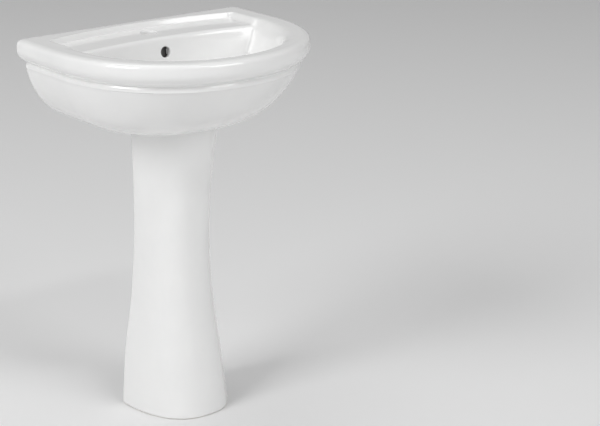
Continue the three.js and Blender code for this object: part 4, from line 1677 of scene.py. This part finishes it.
@dataclass
class Fittings:
    """What the waste, the plug and the trap share: their axis, and how the CAD's boxes are read."""

    finishes: Finishes

    def __post_init__(self) -> None:
        """Finds the drain's axis."""
        low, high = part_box("waste_body")
        self.axis = Vector(((low.x + high.x) / 2, (low.y + high.y) / 2, 0))

    @staticmethod
    def span(node: str) -> Point:
        """Returns how far up a CAD node starts and ends, in millimetres."""
        low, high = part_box(node)
        return low.z / MM, high.z / MM

    @staticmethod
    def radius(node: str) -> float:
        """Returns a CAD node's widest radius, in millimetres."""
        low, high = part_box(node)
        return (high.y - low.y) / 2 / MM

    def turn(self, name: str, profile: Profile, steps: int = 64) -> Object:
        """Turns a profile of radius and height about the drain's axis."""
        return turned(name, profile, self.axis, steps)

    def washer(self, name: str, node: str, inner: float, body: Body = Body.SINK) -> None:
        """Models a flat rubber washer in the place of a CAD node.

        Args:
            name: The piece's name.
            node: The CAD node.
            inner: The hole's radius.
            body: The body that it rides on.
        """
        low, high = self.span(node)
        outer = self.radius(node)
        profile = [(inner, low), (outer, low), (outer, high), (inner, high)]
        obj = self.turn(name, rounded(profile, 0.6))
        hand_over(obj, node, body, self.finishes.seal)

    @staticmethod
    def collar(thread_radius: float, lip: float, low: float, high: float, flip: bool = False) -> Profile:
        """The profile of a coupling nut: a ribbed collar over a thread, with a lip.

        Args:
            thread_radius: The thread's radius.
            lip: The radius of the hole in its lip.
            low: Where it starts.
            high: Where it ends.
            flip: True for a nut whose lip is at its high end.

        Returns:
            Points of radius and height.
        """
        wall = 4.5
        outer = thread_radius + wall
        start, end = (high, low) if flip else (low, high)
        up = -1 if flip else 1
        inside = thread(thread_radius, end - up * 1.5, start + up * wall, 2.0, 0.5)
        return [
            (lip + 0.5, start), (outer - 2, start), (outer - 1.2, start + up * 0.2),
            (outer - 0.6, start + up * 0.8), (outer - 0.4, start + up * 1.6), (outer, start + up * 2.4),
            (outer, end - up * 2.6), (outer - 0.5, end - up * 1.9), (outer - 0.5, end - up * 0.6),
            (outer - 1.1, end), (thread_radius + 0.8, end), *inside, (lip, start + up * wall),
            (lip, start + up * 0.5),
        ]


@dataclass
class Waste(Fittings):
    """The slotted waste with its seals and its nut."""

    wall: float = 2.9
    tube: float = 20.9
    flange: float = 2.2
    pitch: float = 2.1
    thread_depth: float = 0.9
    slot_width: float = 14.0
    slot: Point = (16.3, 7.3)
    bridge_depth: float = 38.0
    bridge: float = 4.0

    def build(self) -> None:
        """Models all pieces of the waste."""
        hand_over(self._body(), "waste_body", Body.SINK, self.finishes.chrome)
        self.washer("Waste_flange_seal", "waste_flange_seal", self.tube + 0.3)
        self.washer("Waste_under_seal", "waste_under_seal", self.tube + 0.3)
        hand_over(self._nut(), "waste_backnut", Body.SINK, self.finishes.brass)

    def _body(self) -> Object:
        """Models the flanged tube with its thread, its slots and the bridge for the plug.

        Returns:
            The piece.
        """
        low, high = self.span("waste_body")
        outer = self.radius("waste_body")
        under = high - self.flange
        bore = self.tube - self.wall
        root = self.tube - self.thread_depth
        profile = [
            (bore + 0.6, low), (root - 0.6, low), (root, low + 0.8),
            *thread(root, low + 1.2, under - 4, self.pitch, self.thread_depth),
            (self.tube, under - 3.6), (self.tube, under), (outer - 0.3, under), (outer, under + 0.4),
            (outer, high - 1.2), (outer - 0.35, high - 0.55), (outer - 1.2, high - 0.12),
            (outer - 2.6, high),
            (bore + 3.4, high), (bore + 1.9, high - 0.3), (bore + 0.8, high - 1), (bore, high - 2.4),
            (bore, low + 0.8),
        ]
        body = self.turn("Waste_body", profile, 72)
        top, bottom = under - self.slot[1] + 2.2, under - self.slot[0] + 1.2
        half = Vector((self.slot_width / 2, 2 * self.tube, 0)) * MM
        slot = block("slot_tool", self.axis - half + Vector((0, 0, bottom * MM)),
                     self.axis + half + Vector((0, 0, top * MM)), bevel=1.5)
        cut(body, slot)
        cut(body, self._bridge(under - self.bridge_depth, bore), "UNION")
        return body

    def _bridge(self, low: float, bore: float) -> Object:
        """Models the cross piece that the plug's cartridge screws into.

        Args:
            low: Where it starts, in millimetres.
            bore: The radius of the tube round it.

        Returns:
            The bridge.
        """
        high = low + self.bridge
        edge = bore + 0.3
        disc = self.turn("bridge_tool", rounded([(0, low), (edge, low), (edge, high), (0, high)], 0.3))
        flow = bore / 3.6
        holes = [(math.cos(a) * (bore - flow - 1), math.sin(a) * (bore - flow - 1), flow)
                 for a in (math.pi / 4 + np.arange(4) * math.pi / 2)]
        for x, y, radius in [*holes, (0, 0, 5.0)]:
            top = self.axis + Vector((x, y, high)) * MM
            cut(disc, drill("flow_tool", radius, top, top - Vector((0, 0, 6 * MM)), flare=0.5))
        return disc

    def _nut(self) -> Object:
        """Models the hexagonal brass nut with its chamfers.

        Returns:
            The piece.
        """
        low, high = self.span("waste_backnut")
        corner = self.radius("waste_backnut")
        bpy.ops.mesh.primitive_cylinder_add(
            vertices=6, radius=corner * MM, depth=(high - low) * MM,
            location=self.axis + Vector((0, 0, (low + high) / 2 * MM)),
        )
        nut = added("Waste_backnut")
        settle(nut)
        flat = corner * 0.91
        lens = [(0, low - 0.01), (flat, low - 0.01), (corner + 0.5, low + 2.2), (corner + 0.5, high - 2.2),
                (flat, high + 0.01), (0, high + 0.01)]
        cut(nut, self.turn("lens_tool", lens), "INTERSECT")
        hole = self.tube + 0.3
        bore = [(0, low - 1), (hole + 2.0, low - 1), (hole + 1.0, low), (hole, low + 1),
                *thread(hole, low + 1.2, high - 1.2, self.pitch, 0.7), (hole, high - 1),
                (hole + 1.0, high), (hole + 2.0, high + 1), (0, high + 1)]
        cut(nut, self.turn("bore_tool", bore))
        return nut


@dataclass
class Plug(Fittings):
    """The china plug cap on its stem, and the cartridge that holds it up or down."""

    stem: float = 3.0

    def build(self) -> None:
        """Models the cap, its seal, the stem and the cartridge."""
        low, high = self.span("plug_cap")
        outer = self.radius("plug_cap")
        dome = [(outer * math.cos(a) ** 0.62, high - 3.4 + 3.4 * math.sin(a))
                for a in np.linspace(0, math.pi / 2, 13)[:-1]]
        profile = [(0, low), (outer - 1.2, low), (outer - 0.4, low + 0.35), *dome, (0, high)]
        cap = self.turn("Plug_cap", profile, COLLAR_STEPS)
        hand_over(cap, "plug_cap", Body.PLUG, self.finishes.plug, 60)
        self._seal()
        self._stem()
        self._cartridge()

    def _seal(self) -> None:
        """The rubber ring under the cap."""
        low, high = self.span("plug_seal")
        outer = self.radius("plug_seal")
        profile = rounded([(self.stem + 0.3, low), (outer - 1.4, low), (outer, high - 1),
                           (outer - 0.4, high), (self.stem + 0.3, high)], 0.4)
        hand_over(self.turn("Plug_seal", profile), "plug_seal", Body.PLUG, self.finishes.seal)

    def _stem(self) -> None:
        """The steel stem with its catch groove."""
        low, high = self.span("plug_stem")
        radius = self.radius("plug_stem")
        profile = [(0, low), (radius - 0.8, low), (radius, low + 0.8), (radius, low + 7),
                   (radius - 0.6, low + 7.5), (radius - 0.6, low + 9.5), (radius, low + 10), (radius, high),
                   (0, high)]
        stem = self.turn("Plug_stem", profile, 32)
        hand_over(stem, "plug_stem", Body.PLUG, self.finishes.steel)

    def _cartridge(self) -> None:
        """The push-push cartridge in the waste's bridge."""
        low, high = self.span("plug_cartridge")
        outer = self.radius("plug_cartridge")
        bore = self.stem + 0.4
        shoulder = low + 5.3
        profile = [(bore, low), (4.2, low), (4.7, low + 0.5), (4.7, shoulder), (outer - 0.5, shoulder),
                   (outer, shoulder + 0.5), (outer, high - 6), (outer - 0.5, high - 5.5),
                   (outer - 0.5, high - 4.5),
                   (outer, high - 4), (outer, high - 2), (outer - 2, high), (bore, high)]
        body = self.turn("Plug_cartridge", profile, 48)
        hand_over(body, "plug_cartridge", Body.SINK, self.finishes.plastic)


@dataclass
class Trap(Fittings):
    """The bottle trap: inlet, body and the cup that screws off."""

    tube: float = 16.0
    tube_wall: float = 2.2
    wall: float = 2.6
    neck: float = 20.4
    neck_height: float = 16.0
    thread_height: float = 13.0
    gap: float = 0.3
    inlet_thread: float = 21.2

    def build(self) -> None:
        """Models all pieces of the trap."""
        plastic = self.finishes.plastic
        self.washer("Trap_inlet_seal", "trap_inlet_seal", self.tube - self.tube_wall)
        self.washer("Trap_neck_seal", "trap_neck_seal", self.tube + self.gap)
        inner = self.radius("trap_cup_seal") - self.wall
        self.washer("Trap_cup_seal", "trap_cup_seal", inner, Body.CUP_SEAL)
        for node, radius, flip in (("trap_inlet_nut", self.inlet_thread, False),
                                   ("trap_neck_nut", self.neck + self.gap, True)):
            low, high = self.span(node)
            profile = self.collar(radius, self.tube + self.gap, low, high, flip)
            nut = self.turn(node.capitalize(), profile, COLLAR_STEPS)
            rib(nut, self.axis, (low + 2.2, high - 2.2))
            hand_over(nut, node, Body.SINK, plastic)
        hand_over(self._dip_tube(), "trap_dip_tube", Body.SINK, plastic)
        hand_over(self._body(), "trap_body", Body.SINK, plastic)
        hand_over(self._cup(), "trap_cup", Body.CUP, plastic)

    def _dip_tube(self) -> Object:
        """Models the tube that leads down into the water.

        Returns:
            The piece.
        """
        low, high = self.span("trap_dip_tube")
        flange = self.radius("trap_dip_tube")
        inner = self.tube - self.tube_wall
        profile = [(inner, low), (self.tube, low), (self.tube, high - 3), (flange, high - 3),
                   (flange, high), (inner, high)]
        return self.turn("Trap_dip_tube", rounded(profile, 0.5))

    def _body(self) -> Object:
        """Models the bottle with its threaded neck and its outlet stub.

        Returns:
            The piece.
        """
        low, high = self.span("trap_body")
        outer = self.radius("trap_cup_seal")
        inner = outer - self.wall
        top = high - self.neck_height
        bore = self.tube + self.gap
        root = self.neck - 0.7
        profile = [
            (inner, low), (outer - 0.9, low),
            *thread(outer - 0.7, low + 0.6, low + self.thread_height, 2.6, 0.7),
            (outer, low + self.thread_height + 0.6), (outer, top - 7), (outer - 0.35, top - 4.6),
            (outer - 1.3, top - 2.5), (outer - 2.7, top - 1), (outer - 4.4, top - 0.2),
            (root + 0.8, top), *thread(root, top + 0.8, high - 1.6, 2.2, 0.7), (root - 0.5, high),
            (bore, high),
            (bore, top - self.wall), (inner - 3, top - self.wall), (inner - 1, top - self.wall - 1),
            (inner, top - self.wall - 4),
        ]
        body = self.turn("Trap_body", profile, COLLAR_STEPS)
        _, box_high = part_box("trap_body")
        nut_low, nut_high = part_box("trap_outlet_nut")
        middle = (nut_low.z + nut_high.z) / 2
        stub = self.tube + self.gap + self.wall
        length = (box_high.y - self.axis.y) / MM
        end = Vector((self.axis.x, box_high.y, middle))
        thread_end = 18.0
        pipe = [(0, 0), (stub - 1.2, 0), *thread(stub - 0.7, 0.6, thread_end, 2.2, 0.7),
                (stub, thread_end + 0.6), (stub, length - outer - 3), (stub + 1.2, length - outer - 0.5),
                (stub + 1.2, length - inner + 1.5), (0, length - inner + 1.5)]
        cut(body, turned("stub_tool", pipe, end, 64, lying=True), "UNION")
        hollow = self.turn("hollow_tool", [(0, low - 1), (inner, low - 1), (inner, top - self.wall - 4.2),
                                           (0, top - self.wall - 4.2)], COLLAR_STEPS)
        cut(body, hollow)
        cut(body, drill("outlet_tool", bore, end, end - Vector((0, (length - self.tube - 2) * MM, 0)), 0.6))
        return body

    def _cup(self) -> Object:
        """Models the cup with its ribbed collar and the bar that unscrews it.

        Returns:
            The piece.
        """
        low, high = self.span("trap_cup")
        outer = self.radius("trap_cup")
        thread_radius = outer - self.wall
        body = self.radius("trap_cup_seal")
        inner = body - self.wall
        floor = low + 6
        ledge = high - self.thread_height - 3
        inside = thread(thread_radius, high - 1.4, ledge + 0.6, 2.6, 0.35)
        profile = [
            (0, floor), (inner - 7, floor), (inner - 4.6, floor + 0.35), (inner - 1.6, floor + 1.8),
            (body - 1.6, floor + 4.2), (body - 0.4, floor + 6.6), (body, floor + 9), (body, ledge - 4),
            (body + 0.6, ledge - 3), (outer - 0.7, ledge - 1.4), (outer, ledge - 0.2), (outer, high - 2.4),
            (outer - 0.5, high - 1.8), (outer - 0.5, high - 0.5), (outer - 1, high),
            (thread_radius + 0.4, high),
            *inside, (thread_radius, ledge), (inner, ledge), (inner, floor + 9), (inner - 1, floor + 6),
            (inner - 3, floor + 3.8), (inner - 6, floor + self.wall), (0, floor + self.wall),
        ]
        cup = self.turn("Trap_cup", profile, COLLAR_STEPS)
        rib(cup, self.axis, (ledge + 0.2, high - 2.6), proud=0.9)
        reach = body - 8
        bar = block("grip_tool", self.axis + Vector((-1.5, -reach, low)) * MM,
                    self.axis + Vector((1.5, reach, floor + 1)) * MM, bevel=1)
        cut(cup, bar, "UNION")
        return cup


@dataclass
class Outlet(Fittings):
    """The coupling behind the trap and the pipe towards the wall."""

    tube: float = 16.0
    tube_wall: float = 2.2
    stub: float = 18.9
    gap: float = 0.3

    def end(self, node: str) -> tuple[Vector, float, float]:
        """Measures a lying node.

        Args:
            node: The CAD node.

        Returns:
            The middle of its end at the wall, its length and its radius.
        """
        low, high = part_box(node)
        middle = Vector(((low.x + high.x) / 2, high.y, (low.z + high.z) / 2))
        return middle, (high.y - low.y) / MM, (high.z - low.z) / 2 / MM

    def build(self) -> None:
        """Models the nut, its seal and the pipe."""
        place, length, _ = self.end("trap_outlet_nut")
        nut = turned("Trap_outlet_nut", self.collar(self.stub + self.gap, self.tube + self.gap, 0, length),
                     place, 96, lying=True)
        rib(nut, place, (2.2, length - 2.2), lying=True)
        hand_over(nut, "trap_outlet_nut", Body.SINK, self.finishes.plastic)
        place, length, radius = self.end("trap_outlet_seal")
        inner = self.tube + self.gap
        ring = rounded([(inner, 0), (radius, 0), (radius, length), (inner, length)], 0.6)
        seal = turned("Trap_outlet_seal", ring, place, 64, lying=True)
        hand_over(seal, "trap_outlet_seal", Body.SINK, self.finishes.seal)
        place, length, radius = self.end("outlet_tail")
        inner = radius - self.tube_wall
        pipe = rounded([(inner, 0), (radius, 0), (radius, length), (inner, length)], 0.8)
        tail = turned("Outlet_tail", pipe, place, 64, lying=True)
        hand_over(tail, "outlet_tail", Body.SINK, self.finishes.plastic)


# ---- Studio ---------------------------------------------------------------------------------------------


@dataclass
class Studio:
    """A pale floor, soft lights and the camera."""

    aim_right: float = 0.3001
    aim_back: float = 0.0175
    aim_height: float = 0.3824
    azimuth: float = -38.84
    elevation: float = 18.12
    distance: float = 3.793
    lens: float = 102.6
    sky_low: float = 0.5
    sky_high: float = 0.22

    def camera(self) -> None:
        """Places the camera."""
        turn, rise = math.radians(self.azimuth), math.radians(self.elevation)
        back = Vector((math.sin(turn) * math.cos(rise), -math.cos(turn) * math.cos(rise), math.sin(rise)))
        data = bpy.data.cameras.new("Camera")
        camera = bpy.data.objects.new("Camera", data)
        bpy.context.scene.collection.objects.link(camera)
        camera.location = Vector((self.aim_right, self.aim_back, self.aim_height)) + back * self.distance
        camera.rotation_mode = "QUATERNION"
        camera.rotation_quaternion = (-back).to_track_quat("-Z", "Y")
        data.lens = self.lens
        data.sensor_width = 36.0
        data.clip_end = 60.0
        bpy.context.scene.camera = camera

    def light(self, name: str, place: Point3, size: Point, watts: float) -> None:
        """Adds one soft light that shines at the sink.

        Args:
            name: The light's name.
            place: Where it hangs, in metres.
            size: Its width and height.
            watts: Its power.
        """
        data = bpy.data.lights.new(name, "AREA")
        data.shape = "RECTANGLE"
        data.size, data.size_y = size
        data.energy = watts
        light = bpy.data.objects.new(name, data)
        bpy.context.scene.collection.objects.link(light)
        light.location = place
        light.rotation_mode = "QUATERNION"
        light.rotation_quaternion = (Vector((0, 0, 0.5)) - Vector(place)).to_track_quat("-Z", "Y")

    def floor(self) -> None:
        """Lays the pale floor."""
        bpy.ops.mesh.primitive_plane_add(size=24, location=(0, 0, -0.0004))
        floor = added("Floor")
        material = bpy.data.materials.new("pale_floor")
        material.use_nodes = True
        surface = material.node_tree.nodes["Principled BSDF"]
        surface.inputs["Base Color"].default_value = (0.86, 0.86, 0.86, 1)
        surface.inputs["Roughness"].default_value = 0.9
        floor.data.materials.append(material)

    def sky(self) -> None:
        """Fills the room with pale light that is strongest near the floor."""
        world = bpy.data.worlds.new("Room")
        world.use_nodes = True
        graph = Graph(world.node_tree)
        place = graph.add("ShaderNodeTexCoord").outputs["Generated"]
        upward = graph.add("ShaderNodeSeparateXYZ", {0: place}).outputs["Z"]
        background = world.node_tree.nodes["Background"]
        background.inputs["Color"].default_value = (1, 1, 1, 1)
        strength = graph.between(upward, 0.0, 0.7, (self.sky_low, self.sky_high))
        graph.tree.links.new(strength, background.inputs["Strength"])
        bpy.context.scene.world = world

    def build(self) -> None:
        """Sets up the whole studio."""
        self.camera()
        self.floor()
        self.sky()
        self.light("Key", (-6.2, -0.6, 5.2), (3.4, 3.4), 275)
        self.light("Fill", (2.0, -6.6, 4.9), (3.6, 3.6), 150)
        self.light("Top", (-0.5, 1.5, 8.0), (5.0, 5.0), 105)
        self.light("Streak", (-0.4, -3.9, 6.0), (1.4, 0.5), 42)
        bpy.context.scene.view_settings.view_transform = "Standard"


def main() -> None:
    """Builds the sink round the frame, piece by piece, and the studio round it."""
    logging.basicConfig(level=logging.INFO, format="%(name)s: %(message)s")
    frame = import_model()
    log.info("frame with %d CAD nodes", len(frame["nodes"]))
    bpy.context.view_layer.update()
    Studio().build()
    basin = Basin()
    finishes = Finishes(basin.wall)
    hand_over(basin.build(finishes), "basin", Body.SINK, finishes.china, 38)
    pedestal = Pedestal()
    hand_over(pedestal.build(finishes), "pedestal", Body.SINK, finishes.china, 38)
    hand_over(pedestal.build_strip(), "seat_gasket", Body.SINK, finishes.gasket)
    for fitting in (Waste, Plug, Trap, Outlet):
        fitting(finishes).build()


if __name__ == "__main__":
    main()
